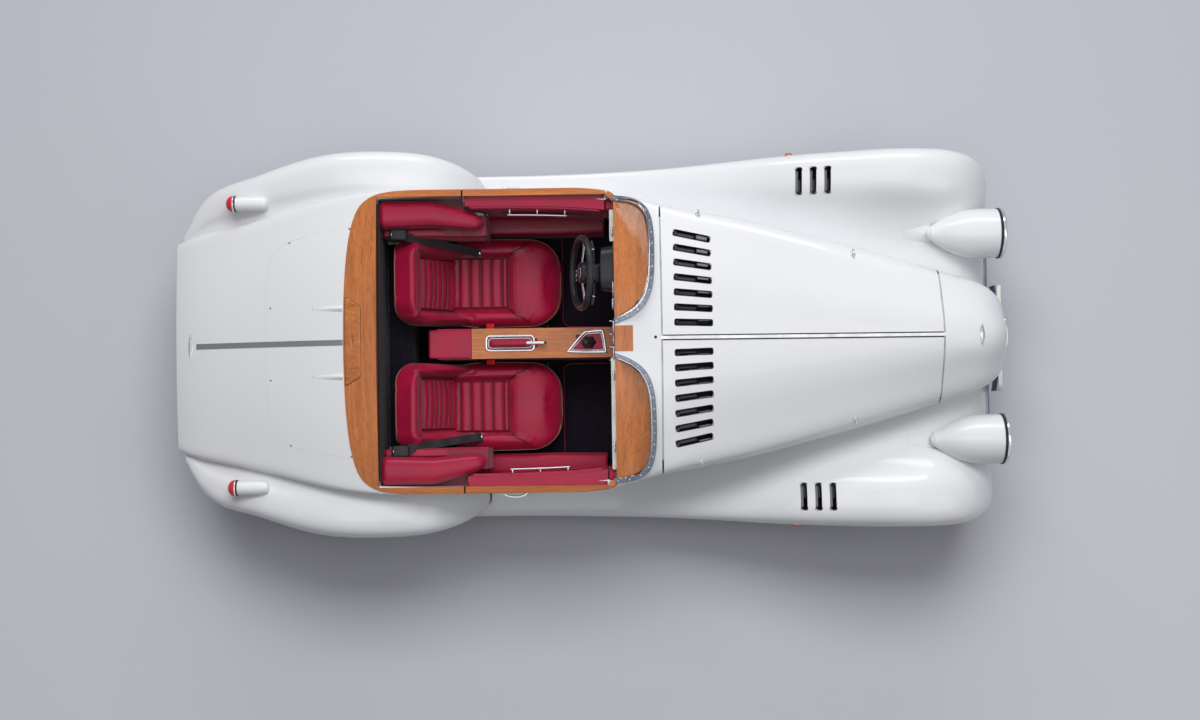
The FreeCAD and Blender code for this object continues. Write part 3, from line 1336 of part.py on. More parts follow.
def rear_suspension():
    """Differential, drive shafts, hub carriers and links in one unit."""
    x, z, arm = S["rear_axle_x"], S["axle_height"], S["arm_thickness"]
    length, width, height = S["diff_length"], S["diff_width"], S["diff_height"]
    shape = pad(
        x - length / 2, x + length / 2, -width / 2, width / 2, z - height / 2, z + height / 2, arm
    )
    face = S["wheel_y"] - S["hub_depth"] - S["seat_gap"]
    half = S["knuckle_half_height"]
    carrier = block(x - arm, x + arm, face - arm * 2, face, z - half, z + half)
    across = Vector(0, 1, 0)
    boss = Part.makeCylinder(S["hub_radius"] * HUB_BOSS_SHARE, arm, Vector(x, face - arm, z), across)
    shaft = rod(Vector(x, width / 2 - arm, z), Vector(x, face - arm, z), S["shaft_radius"])
    y_in = S["rail_outer_y"] + S["seat_gap"]
    low = z - half + arm / 2
    side = carrier.fuse(boss).fuse(shaft)
    for middle in (x - S["arm_spread"], x + S["arm_spread"]):
        foot = Vector(middle, y_in + arm / 2, low)
        side = side.fuse(rod(foot, Vector(x, face - arm, low), arm / 2))
        side = side.fuse(
            block(middle - arm, middle + arm, y_in, y_in + arm, S["rail_bottom"] + arm, low + arm / 2)
        )
    strut_x, head = x - arm * 2, S["axle_bay_top"] - arm * 2
    strut = rod(Vector(strut_x, face - arm * 3, low), Vector(strut_x, y_in + arm * 2, head), arm)
    tie = block(x - arm * 3, x, face - arm * 4, face - arm, low - arm / 2, low + arm / 2)
    side = side.fuse(strut).fuse(tie)
    return largest(shape.fuse(both(side)))


# Cabin fittings.
def pad(x0, x1, y0, y1, z0, z1, radius):
    """A box with every edge rounded."""
    shape = block(x0, x1, y0, y1, z0, z1)
    return shape.makeFillet(radius, shape.Edges)


# Rounding of a seat, where its back stands on the cushion and how far it rises from its base, as
# shares of the back's and the cushion's thickness.
SOFT_SHARE = 0.35
BACK_FOOT_SHARE = 0.8


def seat(side):
    """One bucket seat: runners, cushion and reclined back in one solid."""
    y0 = S["seat_offset"] - S["seat_width"] / 2
    y1 = y0 + S["seat_width"]
    front, rear = S["cushion_front_x"], S["cushion_front_x"] - S["cushion_length"]
    base, top = S["cushion_base"], S["cushion_base"] + S["cushion_thickness"]
    soft = S["back_thickness"] * SOFT_SHARE
    cushion = pad(rear, front, y0, y1, base, top, soft)
    back = pad(-S["back_thickness"], 0, y0, y0 + S["back_width"], 0, S["back_height"], soft)
    foot = Vector(
        rear + S["back_thickness"] * BACK_FOOT_SHARE, 0, base + S["cushion_thickness"] * SOFT_SHARE
    )
    back.Placement = Placement(foot, Rotation(Vector(0, 1, 0), -S["back_angle"]))
    shape = cushion.fuse(back)
    wide, start = S["runner_width"], rear + S["back_thickness"]
    for y in (y0 + wide, y1 - 2 * wide):
        shape = shape.fuse(block(start, front - soft, y, y + wide, S["floor_top"], base + soft))
    shape = largest(shape)
    return shape if side > 0 else mirrored(shape)


def quarter_trims():
    """Padded rolls over the wheel boxes with trims down to the shelf, beside the seats' backs."""
    gap = S["seat_gap"]
    x0, x1 = S["deck_front_x"] + gap, S["door_rear_x"] - S["shut_gap"]
    inner, low = S["arch_inner"] - S["quarter_pad"], S["arch_box_top"] + gap
    ledge = S["arch_box_top"] + S["quarter_pad"]
    face = block(x0, x1, inner, S["arch_inner"] - gap, S["shelf_height"] + gap, ledge)
    shelf = block(x0, x1, inner, S["body_half_width"], low, ledge)
    wall = S["body_half_width"] - S["body_wall"] - gap
    roll = block(x0, x1, wall - S["quarter_roll_width"], wall, low, S["quarter_roll_top"])
    roll = roll.makeFillet(S["quarter_roll_round"], top_edges(roll))
    shape = face.fuse(shelf).fuse(roll).removeSplitter()
    return both(largest(shape.common(plan_form(-S["body_wall"] - gap))))


def top_edges(shape):
    """The edges of a block's upper face."""
    return [e for e in shape.Edges if e.BoundBox.ZMin > shape.BoundBox.ZMax - S["seat_gap"]]


def console():
    """Tunnel box with a padded box behind it; the timber slab is its own piece."""
    half, top = S["console_half_width"], S["console_top"] - S["console_wood"]
    x1 = S["dash_x"] + S["dash_thickness"]
    x0 = x1 - S["console_length"]
    box = block(x0, x1, -half, half, S["floor_top"], top)
    rest = block(x0 - S["armrest_length"], x0, -half, half, S["floor_top"], S["console_top"])
    return box.fuse(rest).removeSplitter()


def console_wood():
    half = S["console_half_width"]
    x1 = S["dash_x"] + S["dash_thickness"]
    x0 = x1 - S["console_length"]
    top, over = S["console_top"], S["cut_over"]
    slab = block(x0, x1, -half, half, top - S["console_wood"], top)
    for middle, length, width in lever_slots():
        start, end = middle - length / 2, middle + length / 2
        slab = slab.cut(block(start, end, -width / 2, width / 2, top - over, top + over))
    return slab


# Openings of the handbrake and the gear lever: middle behind the panel as a share of the console's
# length, length and width as shares of its half width.
LEVER_SHARES = ((0.70, 2.9, 0.62), (0.20, 1.7, 1.05))


def lever_slots():
    """Middle, length and width of the handbrake's and the gear lever's openings."""
    x1 = S["dash_x"] + S["dash_thickness"]
    unit = S["console_half_width"]
    return [(x1 - S["console_length"] * x, unit * run, unit * wide) for x, run, wide in LEVER_SHARES]


# The handbrake's two ends as shares of its opening, and the gear lever's heights, knob and boot as
# shares of the lever tube and the opening's width.
GRIP_SHARES = (0.40, 0.55)
STICK_SHARES = (4.0, 4.6, 1.4)
BOOT_SHARES = (0.45, 1.5)


def levers():
    """Handbrake and gear lever standing in their openings."""
    (brake_x, brake_run, brake_width), (gear_x, gear_run, gear_width) = lever_slots()
    low, high = S["console_top"] - S["console_wood"] + S["seat_gap"], S["console_top"]
    tube = S["lever_tube"]
    rear, front = brake_x - brake_run * GRIP_SHARES[0], brake_x + brake_run * GRIP_SHARES[1]
    grip = rod(Vector(rear, 0, low + tube), Vector(front, 0, high + tube * 2), tube)
    grip = grip.cut(full_box(rear - tube, front + tube, 0, low))
    top, ball, round_off = (tube * share for share in STICK_SHARES)
    stick = rod(Vector(gear_x, 0, low + tube), Vector(gear_x - tube, 0, high + top), tube / 2)
    knob = Part.makeSphere(round_off, Vector(gear_x - tube, 0, high + ball))
    foot = gear_width * BOOT_SHARES[0]
    boot = Part.makeCone(foot, tube, high - low + tube * BOOT_SHARES[1], Vector(gear_x, 0, low))
    return Part.makeCompound([largest(grip), largest(stick.fuse(knob).fuse(boot))])


def steering_frame():
    """Middle of the steering wheel and the direction of its column, up and to the rear."""
    slope = math.radians(S["column_angle"])
    middle = Vector(S["wheel_centre_x"], S["column_offset"], S["column_height"])
    return middle, Vector(-math.cos(slope), 0, math.sin(slope))


# A wheel spoke's half width and half thickness as shares of the rim tube's radius.
SPOKE_SHARES = (0.9, 0.35)


def steering_wheel():
    """Rim, three spokes and boss."""
    radius, tube = S["wheel_rim_radius"], S["wheel_rim_tube"]
    wide, thick = (tube * share for share in SPOKE_SHARES)
    shape = Part.makeTorus(radius, tube)
    shape = shape.fuse(Part.makeCylinder(S["wheel_boss"], tube * 2, Vector(0, 0, -tube)))
    for turn in (90, 180, 270):
        spoke = block(0, radius, -wide, wide, -thick, thick)
        spoke.rotate(Vector(0, 0, 0), Vector(0, 0, 1), turn)
        shape = shape.fuse(spoke)
    shape = largest(shape.removeSplitter())
    shape.Placement = Placement(steering_frame()[0], Rotation(Vector(0, 1, 0), S["column_angle"] - 90))
    return shape


# The shroud's half height, half width and rounding as shares of the column's radius, its length as
# a share of the column's run, and how far it starts beyond the panel.
SHROUD_SHARES = (1.7, 2.0, 0.7)
SHROUD_LENGTH_SHARE = 0.62
SHROUD_START_SHARE = 1.02


def steering_column():
    """Column and shroud between the boss and the instrument panel."""
    centre, up = steering_frame()
    start = centre - up * (S["wheel_rim_tube"] + S["seat_gap"])
    end = S["dash_x"] - S["seat_gap"]
    run = (end - start.x) / -up.x
    high, wide, soft = (S["column_radius"] * share for share in SHROUD_SHARES)
    shape = rod(start, start - up * (run + S["cut_over"]), S["column_radius"])
    shroud = pad(-high, high, -wide, wide, 0, run * SHROUD_LENGTH_SHARE, soft)
    turn = Rotation(Vector(0, 1, 0), S["column_angle"] - 90)
    shroud.Placement = Placement(start - up * (run * SHROUD_START_SHARE), turn)
    return largest(shape.fuse(shroud).common(full_box(start.x - S["dash_edge"], end)))


# The belt's reel: its length and height as shares of the webbing's width, and where the webbing
# ends as a share of the cushion's length.
REEL_SHARES = (1.5, 1.0)
BELT_END_SHARE = 0.28


def belts():
    """One belt per seat: reel on the quarter trim and webbing down the seat back's outer side."""
    width, thick = S["belt_width"], S["belt_thickness"]
    y = S["arch_inner"] - S["quarter_pad"] - S["seat_gap"] - thick
    top = S["arch_box_top"] + S["quarter_pad"] + S["seat_gap"]
    x0 = S["deck_front_x"] + width
    length, height = (width * share for share in REEL_SHARES)
    edge = S["body_half_width"] - S["body_wall"] - S["quarter_roll_width"] - 2 * S["seat_gap"]
    reel = pad(x0, x0 + length, y, edge, top, top + height, thick * 2)
    start = Vector(x0 + length / 2, y, top + height / 2)
    seat_top = S["cushion_base"] + S["cushion_thickness"]
    end_x = S["cushion_front_x"] - S["cushion_length"] * (1 - BELT_END_SHARE)
    end = Vector(end_x, y, seat_top + width / 2 + S["seat_gap"])
    direction = end - start
    across = Vector(-direction.z, 0, direction.x).normalize() * (width / 2)
    corners = [start + across, end + across, end - across, start - across, start + across]
    web = Part.Face(Part.makePolygon(corners)).extrude(Vector(0, thick, 0))
    return both(largest(reel.fuse(web)))


def floor_pan():
    """Flat floor from the luggage bulkhead to the bulkhead behind the engine."""
    wide = S["floor_half_width"]
    return block(
        S["shelf_front_x"] - S["floor_thickness"] * 2, S["bonnet_rear_x"] - S["shut_gap"], -wide, wide,
        S["rail_top"], S["floor_top"],
    )


ENGINE_ROUND_SHARE = 0.4


def engine():
    """Engine and gearbox as one plain block on two mounts."""
    x1 = S["front_axle_x"] - S["engine_setback"]
    half, base = S["engine_width"] / 2, S["engine_base"]
    soft = S["rail_thickness"] * ENGINE_ROUND_SHARE
    body = pad(x1 - S["engine_length"], x1, -half, half, base, base + S["engine_height"], soft)
    return largest(body.fuse(engine_mounts()))


def engine_mounts():
    """Feet from the block to the tops of the chassis rails."""
    x, wide = S["front_axle_x"] - S["engine_setback"] - S["engine_length"] / 3, S["rail_thickness"]
    y0, y1 = S["engine_width"] / 2 - wide, S["rail_inner_y"] + wide
    return both(block(x - wide, x + wide, y0, y1, S["rail_top"], S["engine_base"] + wide))


def radiator():
    """Core behind the grille, on the frame's front cross member."""
    x = S["bonnet_front_x"] + S["radiator_setback"]
    half = S["grille_half_width"] + S["grille_frame"]
    return block(x, x + S["radiator_depth"], -half, half, S["rail_top"], S["grille_top"])


# The exhaust: the silencer's rear edge as a share of its length, its rounding as a share of its
# height, the tail pipes' places as a share of its half width and the pipe's front end.
SILENCER_SHARE = 1.35
SILENCER_ROUND_SHARE = 0.4
TAIL_PIPE_SHARE = 0.8
PIPE_FRONT_SHARE = 0.8


def exhaust():
    """Pipe under the floor to a cross silencer with two tail pipes."""
    radius, length, height = S["pipe_radius"], S["silencer_length"], S["silencer_height"]
    z = S["silencer_base"] + height / 2
    x_front = S["front_axle_x"] - S["engine_setback"] - S["engine_length"] * PIPE_FRONT_SHARE
    x_rear = S["tail_x"] + length * SILENCER_SHARE
    y = S["rail_inner_y"] - radius * 2
    pipe_z = S["rail_top"] - S["rail_height"] / 2 - radius - S["seat_gap"]
    half = S["silencer_width"] / 2
    can = pad(
        x_rear - length, x_rear, -half, half, S["silencer_base"], S["silencer_base"] + height,
        height * SILENCER_ROUND_SHARE,
    )
    shape = can.fuse(rod(Vector(x_rear - radius, y, pipe_z), Vector(x_front, y, pipe_z), radius))
    tip_x, joined = S["tail_x"] + radius * 3, x_rear - length + radius
    for side in (-1, 1):
        tip_y = side * half * TAIL_PIPE_SHARE
        shape = shape.fuse(rod(Vector(tip_x, tip_y, z), Vector(joined, tip_y, z), radius))
    return largest(shape)


def chassis():
    """Ladder frame of two rails and cross members, with the front suspension's towers."""
    rail_start = "Sizes.rear_axle_x - Sizes.rear_arch_radius - Sizes.cut_over"
    parts = []
    for name, low in (("left", "Sizes.rail_inner_y"), ("right", "-Sizes.rail_outer_y")):
        parts.append(
            bound_box(
                f"rail_{name}", f"Sizes.bonnet_front_x - ({rail_start}) + Sizes.nose_length / 3",
                "Sizes.rail_thickness", "Sizes.rail_height", rail_start, low, "Sizes.rail_bottom",
            )
        )
        parts.append(
            bound_box(
                f"tower_{name}", "2 * Sizes.arm_spread + 2 * Sizes.arm_thickness", "Sizes.rail_thickness",
                "Sizes.tower_top - Sizes.rail_bottom",
                "Sizes.front_axle_x - Sizes.arm_spread - Sizes.arm_thickness", low, "Sizes.rail_bottom",
            )
        )
    pads = (("front", "Sizes.door_front_x"), ("rear", "Sizes.shelf_front_x - 2 * Sizes.floor_thickness"))
    for name, x in pads:
        for side, low in (("left", "Sizes.rail_inner_y"), ("right", "-Sizes.rail_outer_y")):
            parts.append(
                bound_box(
                    f"jack_{name}_{side}", "Sizes.rail_thickness", "Sizes.rail_thickness",
                    "Sizes.floor_thickness", f"{x} - Sizes.rail_thickness", low,
                    "Sizes.rail_bottom - Sizes.floor_thickness",
                )
            )
    crossings = (
        ("front", "Sizes.bonnet_front_x"),
        ("engine", "Sizes.bonnet_rear_x + Sizes.rail_thickness"),
        ("cabin", "Sizes.door_rear_x + Sizes.door_length / 2"),
        ("shelf", "Sizes.shelf_front_x - Sizes.rail_thickness"),
        ("tail", "Sizes.rear_axle_x - Sizes.rear_arch_radius - Sizes.cut_over"),
    )
    for name, x in crossings:
        parts.append(
            bound_box(
                f"cross_{name}", "Sizes.rail_thickness", "2 * Sizes.rail_inner_y", "Sizes.rail_height / 2",
                x, "-Sizes.rail_inner_y", "Sizes.rail_top - Sizes.rail_height / 2",
            )
        )
    return parts


def build():
    """Makes every sub-part."""
    fused("chassis_frame", chassis())
    feature("floor_pan", floor_pan())
    feature("body_tub", tub())
    feature("rear_deck_panel", deck_panel())
    feature("scuttle", scuttle())
    feature("engine_bay_sides", engine_bay_sides())
    for label, shape in (("front_wing", front_wing()), ("rear_wing", rear_wing())):
        feature(f"{label}_left", shape)
        feature(f"{label}_right", mirrored(shape))
    feature("nose_cowl", nose_cowl())
    feature("grille", grille())
    feature("front_lip", front_lip())
    feature("bonnet_spine", bonnet_spine())
    feature("headlamp_lenses", both(headlamp_lens()))
    headlamp_bezels()
    feature("tail_lamp_lenses", both(tail_lens()))
    rim_timber = timber()
    doors_zone = full_box(S["door_rear_x"], S["door_front_x"] + S["cut_over"])
    shut = full_box(S["door_rear_x"] - S["shut_gap"], S["door_front_x"] + S["cut_over"])
    feature("cockpit_timber", largest(rim_timber.cut(shut)))
    rail_left = rim_timber.common(doors_zone).common(half_box(S["door_rear_x"], S["door_front_x"]))
    feature("dash_timber", dash_wood())
    feature("screen_frames", both(screen_frame()))
    feature("wind_deflectors", both(screen_glass()))
    feature("dashboard", dashboard())
    feature("steering_column", steering_column())
    feature("steering_wheel", steering_wheel())
    feature("centre_console", console())
    feature("console_timber", console_wood())
    feature("console_levers", levers())
    feature("seats", both(seat(1)))
    feature("quarter_trims", quarter_trims())
    feature("seat_belts", belts())
    feature("front_suspension", front_suspension())
    feature("steering_rack", steering_rack())
    feature("rear_suspension", rear_suspension())
    feature("engine_block", engine())
    feature("radiator", radiator())
    feature("exhaust", exhaust())
    bonnet = bonnet_half()
    door = largest(door_outline(0).common(body_form(0)).cut(plan_form(-S["body_wall"])))
    inner_panel = door_trim()
    rail = largest(rail_left)
    hung = (("bonnet", bonnet), ("door", door), ("door_trim", inner_panel), ("door_rail", rail))
    for name, turned in (("left", False), ("right", True)):
        for label, shape in hung:
            feature(f"{label}_{name}", mirrored(shape) if turned else shape)
        side = -1 if turned else 1
        feature(f"knuckle_{name}", knuckle(side))
        for end in ("front", "rear"):
            x = S[f"{end}_axle_x"]
            tyre(f"tyre_{end}_{name}", x, side)
            rim(f"rim_{end}_{name}", x, side)


def write():
    """Checks every object and writes each sub-part to its own file."""
    doc.recompute()
    for obj in doc.Objects:
        for word in ("Invalid", "Error"):
            if word in obj.State:
                raise RuntimeError(f"{obj.Label} is {word}")
    os.makedirs("parts", exist_ok=True)
    for obj in pieces:
        shape = obj.Shape
        if shape.isNull() or not shape.isValid() or not shape.Solids:
            raise RuntimeError(f"{obj.Label} has no valid shape")
        shape.exportStep(f"parts/{obj.Label}.step")
        box = shape.BoundBox
        print(
            f"{obj.Label}: {len(shape.Solids)} solid, {shape.Volume / 1e6:.2f} l,"
            f" {box.XMin:.0f}..{box.XMax:.0f}, {box.YMin:.0f}..{box.YMax:.0f},"
            f" {box.ZMin:.0f}..{box.ZMax:.0f}"
        )


build()
write()
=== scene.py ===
"""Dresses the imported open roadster: paint, timber, hide, bright metal, glass and cockpit detail."""

import json
import math

import bmesh
import bpy
import numpy as np
from bpy.props import FloatProperty, FloatVectorProperty, IntProperty, PointerProperty
from mathutils import Matrix, Vector


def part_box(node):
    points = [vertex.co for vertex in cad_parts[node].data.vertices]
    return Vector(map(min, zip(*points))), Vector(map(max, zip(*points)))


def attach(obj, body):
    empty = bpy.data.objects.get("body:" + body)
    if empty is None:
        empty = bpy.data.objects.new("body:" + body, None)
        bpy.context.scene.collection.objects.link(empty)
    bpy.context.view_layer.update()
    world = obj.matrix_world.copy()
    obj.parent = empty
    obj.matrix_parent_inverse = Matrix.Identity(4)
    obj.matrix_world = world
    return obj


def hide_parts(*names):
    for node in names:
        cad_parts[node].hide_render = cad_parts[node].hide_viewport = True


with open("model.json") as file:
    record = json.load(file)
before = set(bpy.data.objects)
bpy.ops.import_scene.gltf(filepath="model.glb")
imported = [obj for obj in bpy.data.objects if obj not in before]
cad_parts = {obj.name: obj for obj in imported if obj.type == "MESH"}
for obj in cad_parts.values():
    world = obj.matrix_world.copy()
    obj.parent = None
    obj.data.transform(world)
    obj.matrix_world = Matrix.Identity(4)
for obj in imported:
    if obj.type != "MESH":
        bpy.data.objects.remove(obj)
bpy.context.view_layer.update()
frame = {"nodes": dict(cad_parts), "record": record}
NODES = frame["nodes"]
SLOTS = {part["node"]: part["material_slot"] for part in frame["record"]["subparts"]}
MM = 0.001
X, Y, Z = np.eye(3)
# Points nearer than this are one, in metres; a point this far past a triangle's edge is still on it.
DOUBLES, ON_EDGE = 2e-6, 1e-6
CLOTH_FRAMES = 20

bl_info = {
    "name": "Open Roadster Dressing",
    "version": (1, 0, 0),
    "blender": (4, 5, 0),
    "location": "3D View > Sidebar > Roadster",
    "description": "Finishes and detail for the open two-seat roadster",
    "category": "Object",
}


def node_box(name):
    """Lowest and highest corner of a CAD node in millimetres."""
    return np.array([list(corner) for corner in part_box(name)]) / MM


def srgb(code):
    """Linear RGBA of an sRGB hex colour."""
    parts = [int(code[i : i + 2], 16) / 255 for i in (1, 3, 5)]
    linear = [c / 12.92 if c <= 0.04045 else ((c + 0.055) / 1.055) ** 2.4 for c in parts]
    return (*linear, 1.0)


def colour(name, description, code):
    """A colour that a user would change, from its sRGB hex value."""
    return FloatVectorProperty(
        name=name, description=description, subtype="COLOR", size=4, default=srgb(code)
    )


# Sizes and colours a user would change.
class RoadsterColours(bpy.types.PropertyGroup):
    paint: colour("Paint", "Body paint", "#E4E5E8")
    hide: colour("Hide", "Seat and trim leather", "#9E1038")
    timber: colour("Timber", "Oiled teak", "#BC6E33")
    carpet: colour("Carpet", "Cut pile", "#120E1B")
    piping: colour("Piping", "Tan piping of the seats", "#8F6A58")


class RoadsterSeats(bpy.types.PropertyGroup):
    crown: FloatProperty(
        name="Crown", description="Rise of a cushion's middle, mm", default=9.0, min=0.0, max=20.0
    )
    pleat_depth: FloatProperty(
        name="Pleat depth", description="Depth of a sewn channel, mm", default=11.0, min=0.0, max=14.0
    )
    piping: FloatProperty(
        name="Piping", description="Radius of the piping, mm", default=2.4, min=1.0, max=6.0
    )
    pressure: FloatProperty(
        name="Filling", description="Pressure of the filling under the hide", default=4.0, min=0.0, max=8.0
    )


class RoadsterWheels(bpy.types.PropertyGroup):
    blocks: IntProperty(
        name="Tread blocks", description="Tread blocks round a tyre", default=72, min=40, max=100
    )
    groove: FloatProperty(
        name="Groove", description="Depth of the tread grooves, mm", default=6.0, min=2.0, max=9.0
    )


# Shapes: a shape is its points in millimetres with a list of face arrays.
def net(points, wrap=False, closed=False, caps=False):
    """Faces over a grid of points; wrap joins the last column to the first, closed the rows."""
    rows, cols = points.shape[:2]
    number = np.arange(rows * cols).reshape(rows, cols)
    if wrap:
        number = np.concatenate([number, number[:, :1]], axis=1)
    if closed:
        number = np.concatenate([number, number[:1]], axis=0)
    a, b, c, d = number[:-1, :-1], number[1:, :-1], number[1:, 1:], number[:-1, 1:]
    faces = [np.stack([a, b, c, d], axis=-1).reshape(-1, 4)]
    if caps:
        faces += [number[:1, :cols], number[-1:, cols - 1 :: -1]]
    return points.reshape(-1, 3), faces


def walled(top, under):
    """A sheet with its thickness: two grids of points joined round all four rims."""
    return net(np.concatenate([top, under[:, ::-1]], axis=1), wrap=True, caps=True)


def patch(u, v):
    """Two grids of parameters, each axis given as start, stop and count."""
    return np.meshgrid(np.linspace(*u), np.linspace(*v), indexing="ij")


def joined(*shapes):
    """Several shapes as one; each one's face numbers move on by the points before it."""
    starts = np.cumsum([0] + [len(points) for points, faces in shapes])
    faces = [part + start for (points, parts), start in zip(shapes, starts) for part in parts]
    return np.concatenate([points for points, faces in shapes]), faces


def mirrored(shape):
    """The same shape on the other side of the car: Y changes sign and each face turns round."""
    points, faces = shape
    return points * (1, -1, 1), [part[:, ::-1] for part in faces]


def both(*shapes):
    """Shapes of the left side with their mirrored ones."""
    return joined(*shapes, *(mirrored(shape) for shape in shapes))


def moved(shape, place, axes=None):
    """A shape in local coordinates set on three axes at a place: p = place + x a + y b + z c."""
    points, faces = shape
    return points @ (np.eye(3) if axes is None else axes) + np.asarray(place, float), faces


def stood(shape, place=(0, 0, 0), order=(2, 1, 0)):
    """A shape's axes renamed, such as a plan slab stood up, and then moved to its place."""
    points, faces = shape
    return moved((points[:, order], faces), place)


# Materials by finish, filled by the finishes operator.
MATERIALS = {}


def piece(name, shape, finish, replaced=(), body="car", slot=None, fill=None, crease=None, outward=True):
    """One finished object: doubles merged, normals outwards on closed forms, riding on its body.

    The shade values run 0 to 1 at each point, 1 at the bottom of a sewn line: painted shade of the hide's
    creases there.
    """
    points, faces = shape
    mesh = bpy.data.meshes.new(name)
    mesh.from_pydata((points * MM).tolist(), [], [row for part in faces for row in part.tolist()])
    if crease is not None:
        # The hide's painted shade in its creases, kept on each point.
        mesh.attributes.new("crease", "FLOAT", "POINT").data.foreach_set("value", crease.ravel())
    form = bmesh.new()
    form.from_mesh(mesh)
    bmesh.ops.remove_doubles(form, verts=form.verts, dist=DOUBLES)
    if outward:
        bmesh.ops.recalc_face_normals(form, faces=form.faces)
    form.to_mesh(mesh)
    form.free()
    mesh.polygons.foreach_set("use_smooth", [True] * len(mesh.polygons))
    mesh.materials.append(MATERIALS[finish])
    obj = bpy.data.objects.new(name, mesh)
    bpy.context.scene.collection.objects.link(obj)
    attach(obj, body)
    if replaced:
        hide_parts(*replaced)


def pair(name, shape, finish, replaced=(), body="car", **settings):
    """A left piece and its mirrored right one; a body or node ending in _ takes the side's name."""
    for side, turn in (("left", lambda same: same), ("right", mirrored)):
        gone = [node + side if node.endswith("_") else node for node in replaced]
        piece(
            f"{name}_{side}", turn(shape), finish, gone,
            body + side if body.endswith("_") else body, **settings,
        )


def curve(points, count, closed=False):
    """A Catmull-Rom line through points, resampled to even steps along its length."""
    p = np.asarray(points, float)
    if closed:
        p = np.concatenate([p[-1:], p, p[:2]])
    else:
        p = np.concatenate([2 * p[:1] - p[1:2], p, 2 * p[-1:] - p[-2:-1]])
    spans = len(p) - 3
    t = np.linspace(0, spans, spans * 24 + 1)
    k = np.minimum(t.astype(int), spans - 1)
    u = (t - k)[:, None]
    a, b, c, d = p[k], p[k + 1], p[k + 2], p[k + 3]
    line = 0.5 * (2 * b + (c - a) * u + (2 * a - 5 * b + 4 * c - d) * u**2 + (3 * b - a - 3 * c + d) * u**3)
    return even(line, count, closed)


def even(line, count, closed=False):
    """A line's points moved to even steps along its length."""
    if closed and np.abs(line[0] - line[-1]).max() > 1e-9:
        line = np.concatenate([line, line[:1]])
    steps = np.linalg.norm(np.diff(line, axis=0), axis=1)
    run = np.concatenate([[0], np.cumsum(steps)])
    at = np.linspace(0, run[-1], count, endpoint=not closed)
    return np.stack([np.interp(at, run, line[:, k]) for k in range(3)], axis=1)


def spline(poles, count):
    """A clamped cubic B-spline on poles: basis functions built up by degree over all parameters."""
    spans = len(poles) - 3
    knots = np.concatenate([[0] * 3, np.arange(spans + 1), [spans] * 3]).astype(float)
    t = np.linspace(0, spans - 1e-9, 400)[:, None]
    basis = ((t >= knots[:-1]) & (t < knots[1:])).astype(float)

    def ramp(over, low, high):
        return np.where(high > low, over / np.maximum(high - low, 1e-9), 0)

    for degree in (1, 2, 3):
        low, high = knots[: -degree - 1], knots[degree:-1]
        rise = ramp(t - low, low, high)
        low, high = knots[1:-degree], knots[degree + 1 :]
        basis = rise * basis[:, :-1] + ramp(high - t, low, high) * basis[:, 1:]
    return even(basis @ poles, count)


def ring(radius, count=12, squash=1.0, power=2.0):
    """Section points of a superellipse: radius cos^(2/p), squashed radius sin^(2/p)."""
    turn = np.arange(count) * 2 * np.pi / count + np.pi / count
    wide, tall = [np.sign(v) * np.abs(v) ** (2 / power) for v in (np.cos(turn), np.sin(turn))]
    return np.stack([radius * wide, radius * squash * tall], axis=1)


def sweep(path, section, up=Z, closed=False, sizes=None):
    """A section carried along a path: path + across * a + above * b, with sizes scaling it."""
    path = np.asarray(path, float)
    if closed:
        ahead = np.roll(path, -1, 0) - np.roll(path, 1, 0)
    else:
        ahead = np.gradient(path, axis=0)
    ahead /= np.linalg.norm(ahead, axis=1, keepdims=True)
    across = np.cross(np.broadcast_to(np.asarray(up, float), path.shape), ahead)
    across /= np.linalg.norm(across, axis=1, keepdims=True)
    above = np.cross(ahead, across)
    section = np.broadcast_to(section, (len(path), *section.shape))
    if sizes is not None:
        section = section * np.reshape(sizes, (len(path), 1, -1))
    points = path[:, None] + across[:, None] * section[..., :1] + above[:, None] * section[..., 1:]
    return net(points, wrap=True, closed=closed, caps=not closed)


def turned(profile, place=(0, 0, 0), axis=Z, count=48, loop=False):
    """A profile of (radius, distance along the axis) turned about the axis through a place.

    A loop closes on itself, as a ring does; any other profile is closed onto the axis at both ends.
    """
    axis = np.asarray(axis, float) / np.linalg.norm(axis)
    side = np.cross(axis, Z if abs(axis[2]) < 0.9 else X)
    side /= np.linalg.norm(side)
    other = np.cross(axis, side)
    profile = np.asarray(profile, float)
    if loop:
        profile = np.concatenate([profile, profile[:1]])
    else:
        profile = np.concatenate([profile[:1] * (0, 1), profile, profile[-1:] * (0, 1)])
    turn = np.arange(count) * 2 * np.pi / count
    spoke = np.cos(turn)[:, None] * side + np.sin(turn)[:, None] * other
    points = profile[:, :1, None] * spoke[None] + profile[:, 1:, None] * axis
    return net(points + np.asarray(place, float), wrap=True)


def slab(outline, low, high, soft=2.0):
    """A flat outline raised from low to high, rims eased in; an inner ring and a fan close each end."""
    n, middle = len(outline), outline.mean(0)
    inward = (middle - outline) / np.linalg.norm(outline - middle, axis=1, keepdims=True)
    steps = [(soft + 1.5, low), (soft, low), (0.35 * soft, low + 0.1 * soft), (0.0, low + soft)]
    steps += [(inset, low + high - z) for inset, z in reversed(steps)]
    rows = [np.column_stack([outline + inward * inset, np.full(n, z)]) for inset, z in steps]
    points, faces = net(np.array(rows), wrap=True)
    number, total = np.arange(n), len(rows) * n
    after, last = (number + 1) % n, total - n
    low_fan = np.column_stack([np.full(n, total), number, after])
    high_fan = np.column_stack([np.full(n, total + 1), last + after, last + number])
    return np.concatenate([points, [[*middle, low], [*middle, high]]]), [*faces, low_fan, high_fan]


